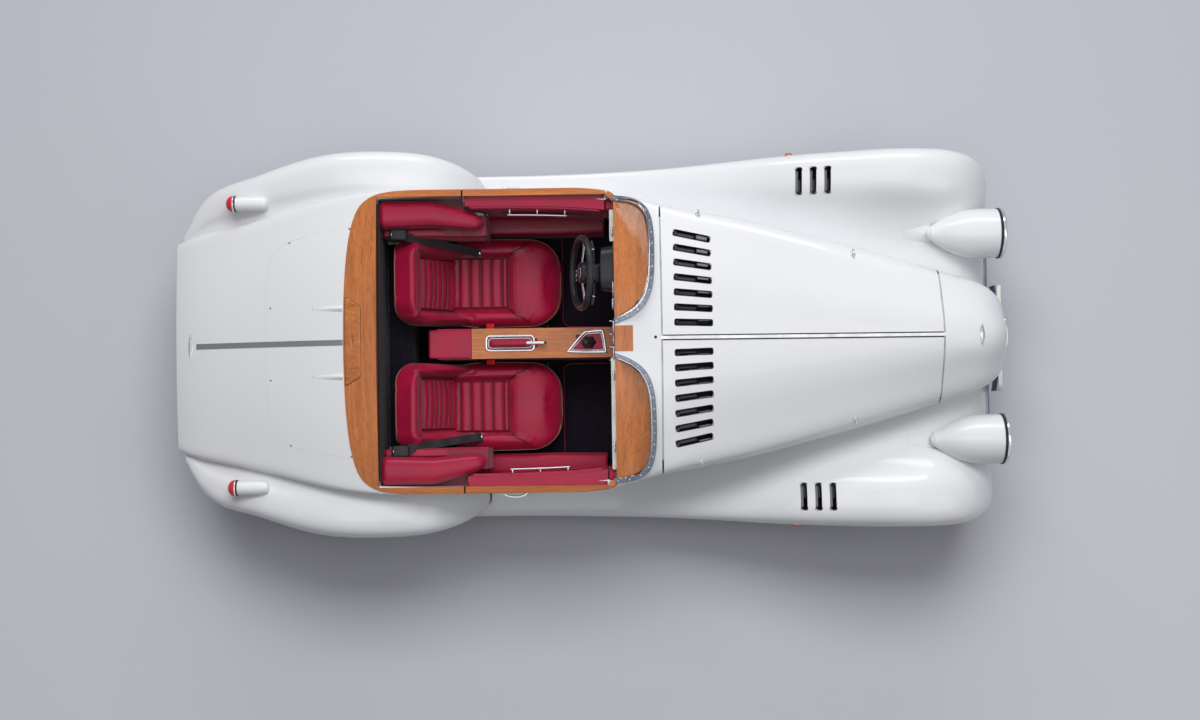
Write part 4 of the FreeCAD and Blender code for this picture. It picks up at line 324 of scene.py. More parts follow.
def rounded_outline(x0, x1, y0, y1, radius):
    """A rectangle's outline with round corners, anticlockwise, 8 points a corner."""
    right, left, top, low = x1 - radius, x0 + radius, y1 - radius, y0 + radius
    centres = ((right, top), (left, top), (left, low), (right, low))
    turns = [np.linspace(0, np.pi / 2, 8) + k * np.pi / 2 for k in range(4)]
    arcs = [np.column_stack([np.cos(turn), np.sin(turn)]) for turn in turns]
    return np.concatenate([np.array(c) + radius * arc for c, arc in zip(centres, arcs)])


def rounded_slab(low, high, radius, soft=2.5):
    """Box with round corners in plan and eased rims, from its two corners."""
    return slab(rounded_outline(low[0], high[0], low[1], high[1], radius), low[2], high[2], soft)


TRIANGLES = {}


def triangles(name):
    """Corner points of a CAD node's triangles in millimetres."""
    if name not in TRIANGLES:
        mesh = NODES[name].data
        mesh.calc_loop_triangles()
        points = np.zeros(len(mesh.vertices) * 3, np.float32)
        mesh.vertices.foreach_get("co", points)
        corners = np.zeros(len(mesh.loop_triangles) * 3, np.int32)
        mesh.loop_triangles.foreach_get("vertices", corners)
        TRIANGLES[name] = (points.reshape(-1, 3) / MM)[corners].reshape(-1, 3, 3).astype(float)
    return TRIANGLES[name]


def landed(points, names, axis=2, sign=1, lift=0.0, missing=None):
    """Points moved along an axis onto the outermost surface of CAD nodes, and its normals.

    In the plane across the axis each triangle gives two weights for every point; where both and
    their rest are positive the point lies over it, and the weighted corners give the hit. A point
    over nothing raises an error, or takes the height that missing gives.
    """
    u, v = [k for k in range(3) if k != axis]
    corners = np.concatenate([triangles(name) for name in names])
    low, high = points.min(0) - 1, points.max(0) + 1
    near = np.ones(len(corners), bool)
    for k in (u, v):
        near &= (corners[:, :, k].max(1) >= low[k]) & (corners[:, :, k].min(1) <= high[k])
    a, b, c = corners[near].transpose(1, 0, 2)
    ab, ac = b - a, c - a
    area = ab[:, u] * ac[:, v] - ab[:, v] * ac[:, u]
    flat = np.abs(area) > 1e-9
    a, ab, ac, area = a[flat], ab[flat], ac[flat], area[flat]
    pu = points[:, None, u] - a[None, :, u]
    pv = points[:, None, v] - a[None, :, v]
    s = (pu * ac[:, v] - pv * ac[:, u]) / area
    t = (pv * ab[:, u] - pu * ab[:, v]) / area
    height = a[:, axis] + s * ab[:, axis] + t * ac[:, axis]
    over = (s >= -ON_EDGE) & (t >= -ON_EDGE) & (s + t <= 1 + ON_EDGE)
    score = np.where(over, sign * height, -np.inf)
    if not len(area):
        return points * 0 + np.nan_to_num(missing), points * 0 + np.eye(3)[axis]
    best = score.argmax(1)
    rows = np.arange(len(points))
    hit = np.isfinite(score[rows, best])
    if missing is None and not hit.all():
        raise RuntimeError(f"nothing of {names} lies along axis {axis} from {points[~hit][0].round(1)}")
    normal = np.cross(ab[best], ac[best])
    normal /= np.linalg.norm(normal, axis=1, keepdims=True)
    normal *= np.sign(normal[:, axis] * sign + 1e-12)[:, None]
    out = points.copy()
    out[:, axis] = np.where(hit, height[rows, best], missing if missing is not None else 0.0)
    return out + normal * lift, normal


def laid_on(names, x, y, **settings):
    """Points at stations x and y landed on CAD nodes from above, and the normals there."""
    x, y = np.broadcast_arrays(np.asarray(x, float), np.asarray(y, float))
    return landed(np.column_stack([x.ravel(), y.ravel(), np.zeros(x.size)]), names, **settings)


def smoothed(values, low, high):
    """0 below low, 1 above high and 3x^2 - 2x^3 between them."""
    x = np.clip((values - low) / (high - low), 0, 1)
    return x * x * (3 - 2 * x)


def bell(distance, width):
    """exp(-(d / w)^2): 1 on a line, fading to the width."""
    return np.exp(-((distance / width) ** 2))


# Materials.
def add(tree, kind, links=(), stops=(), **settings):
    """One node with its settings, a ramp's (place, colour) stops and its links.

    links gives each socket a plain value, another node's output, or a node for its first output.
    """
    node = tree.nodes.new("ShaderNode" + kind)
    while len(stops) > len(node.color_ramp.elements if stops else ()):
        node.color_ramp.elements.new(0.5)
    for k, (position, tone) in enumerate(stops):
        node.color_ramp.elements[k].position = position
        node.color_ramp.elements[k].color = tone
    for key, value in settings.items():
        setattr(node, key, value)
    for socket, value in dict(links).items():
        value = value.outputs[0] if isinstance(value, bpy.types.Node) else value
        if isinstance(value, bpy.types.NodeSocket):
            tree.links.new(value, node.inputs[socket])
        else:
            node.inputs[socket].default_value = value
    return node


def started(name):
    """A named material, its emptied tree, and the object's own coordinates in metres."""
    material = bpy.data.materials.new(name)
    material.use_nodes = True
    tree = material.node_tree
    tree.nodes.clear()
    return material, tree, add(tree, "TexCoord").outputs["Object"]


def closed(material, tree, shader):
    """The material with its shader joined to its surface."""
    add(tree, "OutputMaterial", {"Surface": shader})
    return material


def dimmed(tone, share):
    """A colour with its three channels multiplied by a share."""
    return tuple(channel * share for channel in tone[:3]) + (1.0,)


def pearl_paint():
    """Two-stage pearl white under clear coat: a faint drift over panels, orange peel 6 mm, soft gloss."""
    material, tree, place = started("pearl_white_paint_clear_coated")
    tone = bpy.context.scene.roadster_colours.paint
    drift = add(tree, "TexNoise", {"Vector": place, "Scale": 1.6, "Detail": 2})
    tint = add(tree, "ValToRGB", {"Fac": drift}, [(0.3, dimmed(tone, 0.97)), (0.7, tone)])
    peel = add(tree, "TexNoise", {"Vector": place, "Scale": 160, "Detail": 1})
    bump = add(tree, "Bump", {"Height": peel, "Strength": 0.04, "Distance": 0.0005})
    shader = add(tree, "BsdfPrincipled", {
        "Base Color": tint, "Roughness": 0.36, "IOR": 1.5, "Coat Weight": 0.6, "Coat Roughness": 0.05,
        "Coat Normal": bump,
    })
    return closed(material, tree, shader)


def teak(name, grain, seam_x=None):
    """Oiled teak, planed and sanded: figure 25 mm wide and half a metre long, fine pores, rubbed gloss.

    grain is the axis that the fibres follow; seam_x turns them along Y behind that station.
    """
    material, tree, place = started(name)
    tone = bpy.context.scene.roadster_colours.timber
    along = {"X": (0.045, 1.0, 1.0), "Y": (1.0, 0.045, 1.0)}

    def fibres(axis):
        drawn = add(tree, "Mapping", {"Vector": place, "Scale": along[axis]})
        figure = {"Vector": drawn, "Scale": 38, "Detail": 4, "Distortion": 0.7}
        pores = {"Vector": drawn, "Scale": 300, "Detail": 3}
        return add(tree, "TexNoise", figure), add(tree, "TexNoise", pores)

    figure, pores = fibres(grain)
    if seam_x is not None:
        split = add(tree, "SeparateXYZ", {"Vector": place})
        ahead = add(tree, "Math", {0: split, 1: seam_x * MM}, operation="GREATER_THAN")
        figure, pores = [
            add(tree, "Mix", {0: ahead, 2: rear, 3: front})
            for rear, front in zip(fibres("Y"), (figure, pores))
        ]
    shares = ((0.28, 0.66), (0.42, 0.90), (0.54, 1.0), (0.72, 1.25))
    wood = add(tree, "ValToRGB", {"Fac": figure}, [(at, dimmed(tone, share)) for at, share in shares])
    lines = add(tree, "ValToRGB", {"Fac": pores}, [(0.36, (0.62, 0.52, 0.44, 1)), (0.52, (1, 1, 1, 1))])
    tint = add(tree, "Mix", {0: 0.7, 6: wood, 7: lines}, data_type="RGBA", blend_type="MULTIPLY")
    bump = add(tree, "Bump", {"Height": pores, "Strength": 0.15, "Distance": 0.0005})
    shader = add(tree, "BsdfPrincipled", {
        "Base Color": tint.outputs[2], "Roughness": 0.40, "IOR": 1.5, "Normal": bump,
        "Coat Weight": 0.5, "Coat Roughness": 0.16,
    })
    return closed(material, tree, shader)


def hide(name, tone):
    """Drum-dyed leather, pressed grain drawn at 4 mm so that it shows, soft sheen, and painted shade that
    darkens its creases.
    """
    material, tree, place = started(name)
    cells = add(tree, "TexVoronoi", {"Vector": place, "Scale": 250})
    drift = add(tree, "TexNoise", {"Vector": place, "Scale": 9, "Detail": 4})
    tint = add(tree, "ValToRGB", {"Fac": drift}, [(0.30, dimmed(tone, 0.86)), (0.70, dimmed(tone, 1.10))])
    # Painted shade: along sewn lines and pleats the hide darkens towards a tenth of its tone.
    sewn = add(tree, "Attribute", attribute_name="crease").outputs["Fac"]
    shade = add(tree, "Mix", {0: sewn, 6: tint, 7: dimmed(tone, 0.10)}, data_type="RGBA")
    bump = add(tree, "Bump", {"Height": cells, "Strength": 0.22, "Distance": 0.0008})
    polish = add(tree, "MapRange", {"Value": drift, "To Min": 0.30, "To Max": 0.42})
    shader = add(tree, "BsdfPrincipled", {
        "Base Color": shade.outputs[2], "Roughness": polish, "IOR": 1.48, "Normal": bump,
        "Sheen Weight": 0.1, "Sheen Roughness": 0.45,
    })
    return closed(material, tree, shader)


def cut_pile(name, tone):
    """Cut-pile carpet: tufts 3 mm wide with pale fleck yarns, no gloss."""
    material, tree, place = started(name)
    tufts = add(tree, "TexVoronoi", {"Vector": place, "Scale": 320})
    fleck = add(tree, "TexNoise", {"Vector": place, "Scale": 210, "Detail": 3})
    stops = [(0.38, dimmed(tone, 0.55)), (0.56, tone), (0.72, dimmed(tone, 6.0))]
    tint = add(tree, "ValToRGB", {"Fac": fleck}, stops)
    bump = add(tree, "Bump", {"Height": tufts, "Strength": 0.8, "Distance": 0.003})
    shader = add(tree, "BsdfPrincipled", {
        "Base Color": tint, "Roughness": 0.95, "IOR": 1.4, "Normal": bump, "Sheen Weight": 0.08,
        "Sheen Roughness": 0.6,
    })
    return closed(material, tree, shader)


def woven_webbing():
    """Woven polyester webbing: ribs across the strap 1.5 mm apart, drawn at 3 mm, dull sheen."""
    material, tree, place = started("woven_polyester_webbing_black")
    wave = {"Vector": place, "Scale": 52, "Distortion": 1}
    ribs = add(tree, "TexWave", wave, bands_direction="DIAGONAL")
    tint = add(tree, "ValToRGB", {"Fac": ribs}, [(0.2, srgb("#101115")), (0.8, srgb("#1E2025"))])
    bump = add(tree, "Bump", {"Height": ribs, "Strength": 0.5, "Distance": 0.0006})
    shader = add(tree, "BsdfPrincipled", {
        "Base Color": tint, "Roughness": 0.62, "Normal": bump, "Sheen Weight": 0.2,
    })
    return closed(material, tree, shader)


def metal(name, dark, light, roughness, streak=(60, 60, 60), depth=0.05):
    """A solid metal: tone and polish drift along its working marks, streak giving their direction."""
    material, tree, place = started(name)
    marks = add(tree, "Mapping", {"Vector": place, "Scale": streak})
    grain = add(tree, "TexNoise", {"Vector": marks, "Scale": 1, "Detail": 4})
    tint = add(tree, "ValToRGB", {"Fac": grain}, [(0.3, srgb(dark)), (0.7, srgb(light))])
    drift = {"Value": grain, "To Min": roughness * 0.8, "To Max": roughness * 1.25}
    bump = add(tree, "Bump", {"Height": grain, "Strength": depth, "Distance": 0.0006})
    shader = add(tree, "BsdfPrincipled", {
        "Base Color": tint, "Metallic": 1, "Roughness": add(tree, "MapRange", drift), "Normal": bump,
    })
    return closed(material, tree, shader)


def moulded(name, code, roughness, grain=600, depth=0.3):
    """Moulded plastic, rubber or baked enamel: spark-eroded grain and a slight drift of tone."""
    material, tree, place = started(name)
    skin = add(tree, "TexNoise", {"Vector": place, "Scale": grain, "Detail": 2})
    drift = add(tree, "TexNoise", {"Vector": place, "Scale": 14, "Detail": 3})
    stops = [(0.3, dimmed(srgb(code), 0.8)), (0.7, dimmed(srgb(code), 1.2))]
    tint = add(tree, "ValToRGB", {"Fac": drift}, stops)
    bump = add(tree, "Bump", {"Height": skin, "Strength": depth, "Distance": 0.0005})
    shader = add(tree, "BsdfPrincipled", {
        "Base Color": tint, "Roughness": roughness, "IOR": 1.5, "Normal": bump,
    })
    return closed(material, tree, shader)


def clear(name, code, roughness=0.02, weight=1):
    """Cast acrylic or lamp lens: clear, a faint tint and the slight waviness of a moulding."""
    material, tree, place = started(name)
    wave = add(tree, "TexNoise", {"Vector": place, "Scale": 22, "Detail": 1})
    bump = add(tree, "Bump", {"Height": wave, "Strength": 0.03, "Distance": 0.001})
    shader = add(tree, "BsdfPrincipled", {
        "Base Color": srgb(code), "Roughness": roughness, "IOR": 1.49, "Transmission Weight": weight,
        "Normal": bump,
    })
    return closed(material, tree, shader)


class ROADSTER_OT_finishes(bpy.types.Operator):
    """Paint, timber, hide, metals, glass and rubber for the car's solids"""

    bl_idname = "roadster.finishes"
    bl_label = "Finishes"

    def execute(self, context):
        colours = context.scene.roadster_colours
        MATERIALS.update(
            paint=pearl_paint(),
            teak_y=teak("teak_oiled_across", "Y"),
            teak_x=teak("teak_oiled_lengthways", "X"),
            teak_rim=teak("teak_oiled_rim", "X", seam_x=-985),
            hide=hide("crimson_leather_drum_dyed", colours.hide),
            # The same hide darkened as painted shade, for boards, welts, stitches and bindings.
            hide_dark=hide("crimson_leather_painted_shade", dimmed(colours.hide, 0.6)),
            # Tan leather cord round the pads, and black leather on the wheel, gaiter and hood.
            piping=hide("tan_leather_piping", colours.piping),
            black_hide=hide("black_leather_stitched", srgb("#1C1B20")),
            carpet=cut_pile("cut_pile_carpet_midnight", colours.carpet),
            webbing=woven_webbing(),
            # Chromium over polished brass: bright, faintly blue.
            chrome=metal("chromium_plate_polished", "#D3D5DA", "#E4E6EA", 0.07, depth=0.01),
            # Satin anodised band: grey blue, brushed along the band.
            band=metal("anodised_aluminium_band_satin", "#6D7480", "#8B929E", 0.34),
            # Hinge strip over aluminium, white as a painted highlight, the reflection on its round top: it
            # reads white between two dark lines.
            spine=moulded("hinge_strip_painted_highlight_white", "#F0F0F3", 0.16, grain=160, depth=0.03),
            # Rear centre strip: aluminium, anodised matt grey; the same grey paints the lit part of the
            # louvres' slats as painted light.
            grey=metal("anodised_aluminium_matt_grey", "#8C8D92", "#96979C", 0.55, streak=(40, 600, 40)),
            # Pale grey strip sunk in the panel gaps: painted shade, so that a gap reads as a soft line.
            seal=moulded("panel_seal_moulded_pale", "#A9AAAE", 0.6),
            # Painted shade in a lapped seam: a thin grey line.
            seam=moulded("panel_seam_sealer_grey", "#6F7076", 0.6),
            # Cast aluminium, lacquered: silver, even grain.
            alloy=metal("cast_aluminium_lacquered", "#B4B7BC", "#CFD2D6", 0.24),
            # Brushed aluminium: fine lines across the car, a broad soft shine.
            brushed=metal("aluminium_brushed", "#BFC1C6", "#DCDEE2", 0.26, streak=(40, 900, 40), depth=0.2),
            # Turned steel: darker grey, dull.
            steel=metal("steel_bare_turned", "#77797E", "#9A9CA0", 0.38),
            # Stainless tube browned by heat in bands along it.
            stainless=metal("stainless_tube_heat_tinted", "#8D8780", "#B9B6B0", 0.30, streak=(8, 60, 60)),
            # Cast iron: near black, coarse skin.
            iron=metal("cast_iron_machined", "#4A4A4C", "#63636A", 0.55, streak=(300, 300, 300), depth=0.4),
            # Powder coat: black with a fine orange peel.
            frame=moulded("steel_powder_coated_black", "#1D1E21", 0.45, grain=500),
            # Black plastic: matt, fine grain.
            plastic=moulded("moulded_plastic_black", "#191A1E", 0.48),
            # Slat under the louvres, dark blue grey as painted shade, glossier than the tray.
            liner=moulded("louvre_slat_painted_shade", "#2C2D36", 0.30),
            # Painted shadow, black: the tray under the louvres, so that a slot reads as a hole, and the dark
            # lines in gaps of the timber.
            shadow=moulded("louvre_liner_enamelled_black", "#0B0B0D", 0.6),
            # Tyre rubber: dull black with a coarse skin.
            tyre=moulded("tyre_rubber_vulcanised", "#1B1B1D", 0.78, grain=350, depth=0.5),
            # Baked enamel: warm white, smooth.
            white=moulded("enamel_white_baked", "#E2E1DC", 0.3, grain=160, depth=0.04),
            # Dial face: cream card, plain.
            dial=moulded("dial_face_printed_cream", "#D8D2C0", 0.4, grain=400, depth=0.05),
            # Lacquered needle and moulded button: clear reds, slightly glossy.
            needle=moulded("needle_lacquered_red", "#B3202A", 0.35),
            red_plastic=moulded("buckle_button_moulded_red", "#D2202A", 0.4),
            # Cast acrylic of the deflectors and pressed lamp glass: clear, with sharp highlights.
            glass=clear("cast_acrylic_clear", "#F4F6F6"),
            lens=clear("lamp_glass_pressed", "#FBFCFC"),
            # Moulded lamp plastics: deep red and amber, hardly see-through.
            red_glass=clear("tail_lens_moulded_red", "#E0101A", roughness=0.10, weight=0.12),
            amber=clear("repeater_lens_moulded_amber", "#E07818", roughness=0.15, weight=0.5),
        )
        by_slot = {
            "paint": "paint", "timber": "teak_y", "hide": "hide", "carpet": "carpet", "webbing": "webbing",
            "bright": "chrome", "clear": "glass", "red_glass": "red_glass", "tyre": "tyre",
            "alloy": "alloy", "frame": "frame", "steel": "steel", "cast": "iron", "black": "plastic",
        }
        by_node = {
            "cockpit_timber": "teak_rim", "door_rail_left": "teak_x", "door_rail_right": "teak_x",
            "console_timber": "teak_x", "screen_frames": "band", "headlamp_lenses": "lens",
            "exhaust": "stainless", "bonnet_spine": "spine", "front_lip": "band",
        }
        for name, obj in NODES.items():
            material = MATERIALS[by_node.get(name, by_slot[SLOTS[name]])]
            for place in obj.material_slots:
                place.material = material
            if not obj.material_slots:
                obj.data.materials.append(material)
        return {"FINISHED"}


# Padded pieces. A pad's section has a top run, then SIDES columns: 4 turns of 6 and an underside of 14.
TURN, UNDER = 6, 14
SIDES = 4 * TURN + UNDER


def stations(length, lip, step):
    """Stations along a pad: even in the middle, crowding like 1 - cos towards both ends."""
    turn = lip * (1 - np.cos(np.linspace(0, np.pi / 2, max(12, int(1.6 * lip / step)))))
    middle = np.linspace(lip, length - lip, int((length - 2 * lip) / step))[1:-1]
    return np.concatenate([turn, middle, (length - turn)[::-1]])


def moved_in(distance, radius):
    """How far a corner of a radius has moved in at a distance from its end: r - sqrt(r^2 - (r - d)^2)."""
    share = np.clip(1 - distance / radius, 0, 1)
    return radius * (1 - np.sqrt(1 - share * share))


def loop_columns(width, step):
    """Columns round a pad's section: middle share and direction of the box's rounding, top run first."""
    runs = int(width / step)
    top, low = np.linspace(-1, 1, runs), np.linspace(1, -1, UNDER)
    turn = np.linspace(0, np.pi / 2, TURN + 2)[1:-1]
    one, c, s = np.ones(TURN), np.cos(turn), np.sin(turn)
    flat, under = np.zeros(UNDER), -np.ones(UNDER)
    across = np.concatenate([top, one, one, low, -one, -one])
    height = np.concatenate([np.ones(runs), one, -one, under, -one, one])
    lean = np.concatenate([np.zeros(runs), s, c, flat, -s, -c])
    rise = np.concatenate([np.ones(runs), c, -s, under, -c, s])
    return across, height, lean, rise


def column_shares(runs):
    """Each column's place round the section: 0 to 1 over the top run, then one step a part."""
    turn = np.arange(1, 2 * TURN + 1) / (2 * TURN)
    return np.concatenate([np.linspace(0, 1, runs), 1 + turn, 2.05 + np.linspace(0, 0.9, UNDER), 3 + turn])


def pad_grid(length, width, thickness, corners, edge, ends, step):
    """Closed pad on (along, across, up): a round-cornered plan whose section is a round-edged box.

    corners are the plan radii (start left, start right, end left, end right), edge rounds the
    section and ends rounds its two ends. Left is negative across. Rows are stations, columns go
    round the section, top run first; the rise of each column comes back too.
    """
    along = stations(length, max(corners), step)
    start, end = along, length - along
    left = -width / 2 + np.maximum(moved_in(start, corners[0]), moved_in(end, corners[2]))
    right = width / 2 - np.maximum(moved_in(start, corners[1]), moved_in(end, corners[3]))
    inset = np.maximum(moved_in(start, ends[0]), moved_in(end, ends[1]))
    low, high = inset * 0.6, thickness - inset
    across, height, lean, rise = loop_columns(width, step)
    half, tall = (right - left) / 2, (high - low) / 2
    soft = np.minimum(edge, tall * 0.98)
    x = np.repeat(along[:, None], len(across), axis=1)
    y = (left + right)[:, None] / 2 + across * (half - soft)[:, None] + lean * soft[:, None]
    z = (low + high)[:, None] / 2 + height * (tall - soft)[:, None] + rise * soft[:, None]
    return np.stack([x, y, z], axis=-1), np.clip(rise, 0, 1)


def inflated(points, pinned, pressure, most):
    """Cloth pressure on a closed pad: pinned points stay, no point moves further than most.

    The grid is simulated as its own closed mesh without gravity, and the move of
    each point is cut to the cap. Points that coincide at the ends move together.
    """
    grid, faces = net(points, wrap=True, caps=True)
    mesh = bpy.data.meshes.new("pad")
    mesh.from_pydata((grid * MM).tolist(), [], [row for part in faces for row in part.tolist()])
    obj = bpy.data.objects.new("pad", mesh)
    scene = bpy.context.scene
    scene.collection.objects.link(obj)
    held = obj.vertex_groups.new(name="held")
    held.add(np.flatnonzero(pinned.ravel()).tolist(), 1.0, "REPLACE")
    cloth = obj.modifiers.new("cloth", "CLOTH")
    cloth.settings.use_pressure = True
    cloth.settings.uniform_pressure_force = pressure
    cloth.settings.vertex_group_mass = held.name
    cloth.settings.effector_weights.gravity = 0.0
    cloth.settings.quality = 5
    for number in range(CLOTH_FRAMES):
        scene.frame_set(number + 1)
    swollen = obj.evaluated_get(bpy.context.evaluated_depsgraph_get()).to_mesh()
    after = np.zeros(len(mesh.vertices) * 3)
    swollen.vertices.foreach_get("co", after)
    scene.frame_set(1)
    bpy.data.objects.remove(obj)
    bpy.data.meshes.remove(mesh)
    move = after.reshape(-1, 3) / MM - grid
    far = np.linalg.norm(move, axis=1, keepdims=True)
    move *= np.minimum(1.0, most / np.maximum(far, 1e-6))
    return (grid + move).reshape(points.shape)


def finer(coarse, rows, cols, fine_rows, fine_cols):
    """A grid of moves read between its rows and columns at finer parameters, both ways in turn."""
    first = np.stack(
        [[np.interp(fine_cols, cols, line[:, k]) for k in range(coarse.shape[2])] for line in coarse]
    ).transpose(0, 2, 1)
    flat = first.reshape(len(rows), -1)
    out = np.stack([np.interp(fine_rows, rows, column) for column in flat.T], axis=1)
    return out.reshape(len(fine_rows), len(fine_cols), -1)


def groove(along, across, seams, width=2.6, depth=2.6):
    """Sewn seams: a bell-shaped dip round each seam line, given as points of (along, across)."""
    dip = np.zeros_like(along)
    for seam in seams:
        line = np.asarray(seam, float)
        nearest = np.full(along.shape, np.inf)
        for start, step in zip(line[:-1], np.diff(line, axis=0)):
            x, y = along - start[0], across - start[1]
            share = np.clip((x * step[0] + y * step[1]) / (step**2).sum(), 0, 1)
            nearest = np.minimum(nearest, np.hypot(x - share * step[0], y - share * step[1]))
        dip = np.minimum(dip, -depth * bell(nearest, width))
    return dip


def panel_pleats(along, across, half, lines, depth):
    """Rolls between sewn lines across a panel: |sin| arches of the depth, only on the panel."""
    edges = np.asarray(lines, float)
    span = np.clip(np.searchsorted(edges, along) - 1, 0, len(edges) - 2)
    share = np.clip((along - edges[span]) / (edges[span + 1] - edges[span]), 0, 1)
    arch = np.abs(np.sin(np.pi * share)) ** 0.55
    inside = smoothed(half - np.abs(across), 0, 7) * smoothed(along, edges[0] - 4, edges[0] + 4)
    inside *= smoothed(edges[-1] - along, -4, 4)
    return depth * arch * inside


# Half width of each pleated panel, and its sewn lines along the pad.
CUSHION_HALF, CUSHION_LINES = 124.0, (12.0, 39.0, 92.0, 145.0, 198.0, 251.0, 279.0)
BACK_HALF, BACK_LINES = 122.0, np.linspace(40.0, 372.0, 10)


def cushion_relief(along, across, seats):
    """Cushion's top: sunk pleated panel, side bolsters that run out forwards, rolled front."""
    half, last, rim, length = CUSHION_HALF, CUSHION_LINES[-1], 212.0, CUSHION["length"]
    side = np.abs(across)
    beside = smoothed(side, half - 6, half + 26) * (1 - smoothed(along, last - 40, last + 150))
    ahead = smoothed(along, last - 4, last + 46)
    sunk = -16.0 * (1 - np.maximum(smoothed(side, half - 2, half + 30), ahead))
    roll = 12.0 * beside * np.sin(np.pi * np.clip((side - half) / (rim - half), 0, 1)) ** 0.8
    front = -26.0 * smoothed(along, last + 90, length) ** 1.6
    crown = seats.crown * (1 - (across / rim) ** 2) * np.sin(np.pi * along / length)
    pleats = panel_pleats(along, across, half, CUSHION_LINES, seats.pleat_depth)
    return sunk + roll + front + crown + pleats


def back_relief(along, across, seats):
    """Back's face: sunk pleated panel between bolsters, a padded roll over it."""
    half, last, rim = BACK_HALF, BACK_LINES[-1], 199.0
    side = smoothed(np.abs(across), half - 2, half + 42)
    header = smoothed(along, last - 4, last + 66)
    sunk = -38.0 * (1 - np.maximum(side, header))
    reach = 8.0 + 44.0 * (1 - smoothed(along, 120, 380))
    roll = reach * side * np.sin(np.pi * np.clip((np.abs(across) - half + 12) / 96, 0, 1)) ** 0.7
    pleats = panel_pleats(along, across, half, BACK_LINES, seats.pleat_depth * 0.8)
    return sunk + roll + pleats + seats.crown * 0.4 * (1 - (across / rim) ** 2)


def framed(start, last, half):
    """Three sides of a sewn border, open at the pad's start end."""
    return [(start, -half), (last, -half), (last, half), (start, half)]


# Sewn lines: each panel's border, the cushion's two diagonals, the back's header and its corners.
CUSHION_SEAMS = [framed(6, 279, 124)] + [
    [(279, side * 124), (318, side * 158), (372, side * 188), (398, side * 210)] for side in (-1, 1)
]
BACK_SEAMS = [framed(20, 372, 122), [(448, -160), (448, 160)]] + [
    [(372, side * 122), (448, side * 150)] for side in (-1, 1)
]
CUSHION = dict(
    length=537.0, width=424.0, thickness=150.0, corners=(46, 46, 150, 150), edge=40.0, ends=(24, 58)
)
BACK = dict(
    length=486.0, width=398.0, thickness=118.0, corners=(24, 24, 120, 62), edge=30.0, ends=(20, 26)
)
# Steps of the grid that is simulated and of the grid that shows.
COARSE, FINE = 13.0, 3.4


def padded_form(sizes, relief, seams, pleats, half, seats, most):
    """A pad's fine grid: coarse grid under cloth pressure, its moves read on the fine one, then seams.

    The coarse grid is held along its sewn lines and underside, so the filling stands between them.
    The pad's painted shade for its creases comes too: a narrow and a wide bell round each seam and each
    pleat's line.
    """
    coarse, rise = pad_grid(**sizes, step=COARSE)
    fine, fine_rise = pad_grid(**sizes, step=FINE)

    def shaped(grid, up):
        out = grid.copy()
        out[..., 2] += relief(grid[..., 0], grid[..., 1], seats) * up
        return out

    coarse_shape, form = shaped(coarse, rise), shaped(fine, fine_rise)
    dips = groove(coarse[..., 0], coarse[..., 1], seams, width=8.0, depth=1.0)
    pinned = ((dips < -0.4) & (rise > 0.5)) | (np.broadcast_to(rise, dips.shape) <= 0)
    move = inflated(coarse_shape, pinned, seats.pressure, most) - coarse_shape
    columns = [column_shares(int(sizes["width"] / step)) for step in (COARSE, FINE)]
    form += finer(move, coarse[:, 0, 0], columns[0], fine[:, 0, 0], columns[1])
    along, across = fine[..., 0], fine[..., 1]
    form[..., 2] += groove(along, across, seams) * fine_rise
    lines = seams + [[(x, -half), (x, half)] for x in pleats]
    # Painted shade of the creases: a narrow and a wide bell round each seam and pleat line.
    crease = -groove(along, across, lines, 3.2, 0.70) - groove(along, across, lines, 12.0, 0.30)
    return form, crease * fine_rise


def rim_line(grid, right, left, count=260):
    """The closed line round a pad: up one column, over its end the short way, down the other.

    right and left count columns from the top run's end; in the first turn the line goes over the
    top, and further round it goes under.
    """
    cols = grid.shape[1]
    by_top = right < TURN
    right, left = right + cols - SIDES, left + cols - SIDES
    over = (right - np.arange(right + cols - left)) % cols if by_top else np.arange(right, left)
    rows = [grid[:, right], grid[-1, over], grid[::-1, left], grid[0, over][::-1]]
    return even(np.concatenate(rows), count, closed=True)


class ROADSTER_OT_seats(bpy.types.Operator):
    """Two leather bucket seats with pleated panels, bolsters, piping and runners"""

    bl_idname = "roadster.seats"
    bl_label = "Seats"

    def execute(self, context):
        seats = context.scene.roadster_seats
        # Local axes (along, across, up) and places of the left seat's cushion and back.
        lean = math.radians(32.0)
        along = np.array([-math.sin(lean), 0, math.cos(lean)])
        up = np.array([math.cos(lean), 0, math.sin(lean)])
        cushion_at = np.array([node_box("seats")[0, 0] + 249.0, 300.0, 292.0])
        back_at = np.array([-587.0, 287.0, 344.5]) - up * BACK["thickness"]
        piping = []
        for name, sizes, relief, seams, pleats, half, most, place, axes, fill, columns in (
            ("cushion", CUSHION, cushion_relief, CUSHION_SEAMS, CUSHION_LINES[1:-1], CUSHION_HALF, 9.0,
             cushion_at, np.eye(3), 0.85, (5, 32)),
            ("back", BACK, back_relief, BACK_SEAMS, BACK_LINES, BACK_HALF, 7.0,
             back_at, np.array([along, Y, up]), 0.8, (9, 28)),
        ):
            grid, crease = padded_form(sizes, relief, seams, pleats, half, seats, most)
            shape = moved(net(grid, wrap=True, caps=True), place, axes)
            pair(f"seat_{name}", shape, "hide", ["seats"], fill=fill, crease=crease)
            line = rim_line(grid, *columns)
            piping.append(moved(sweep(line, ring(seats.piping, 8), closed=True), place, axes))
        piece("seat_piping", both(*piping), "piping", ["seats"])
        rails = []
        for y in (96.0, 468.0):
            path = [[-600.0, y, 233.0], [-400.0, y, 231.0], [-214.0, y, 229.0]]
            rails.append(sweep(curve(path, 24), ring(13.0, 16, 0.75, 6.0)))
            for x in (-560.0, -240.0):
                rails.append(sweep([[x, y, 222.0], [x, y, 262.0], [x, y, 298.0]], ring(9.0, 12), up=X))
        piece("seat_runners", both(*rails), "frame", ["seats"])
        return {"FINISHED"}


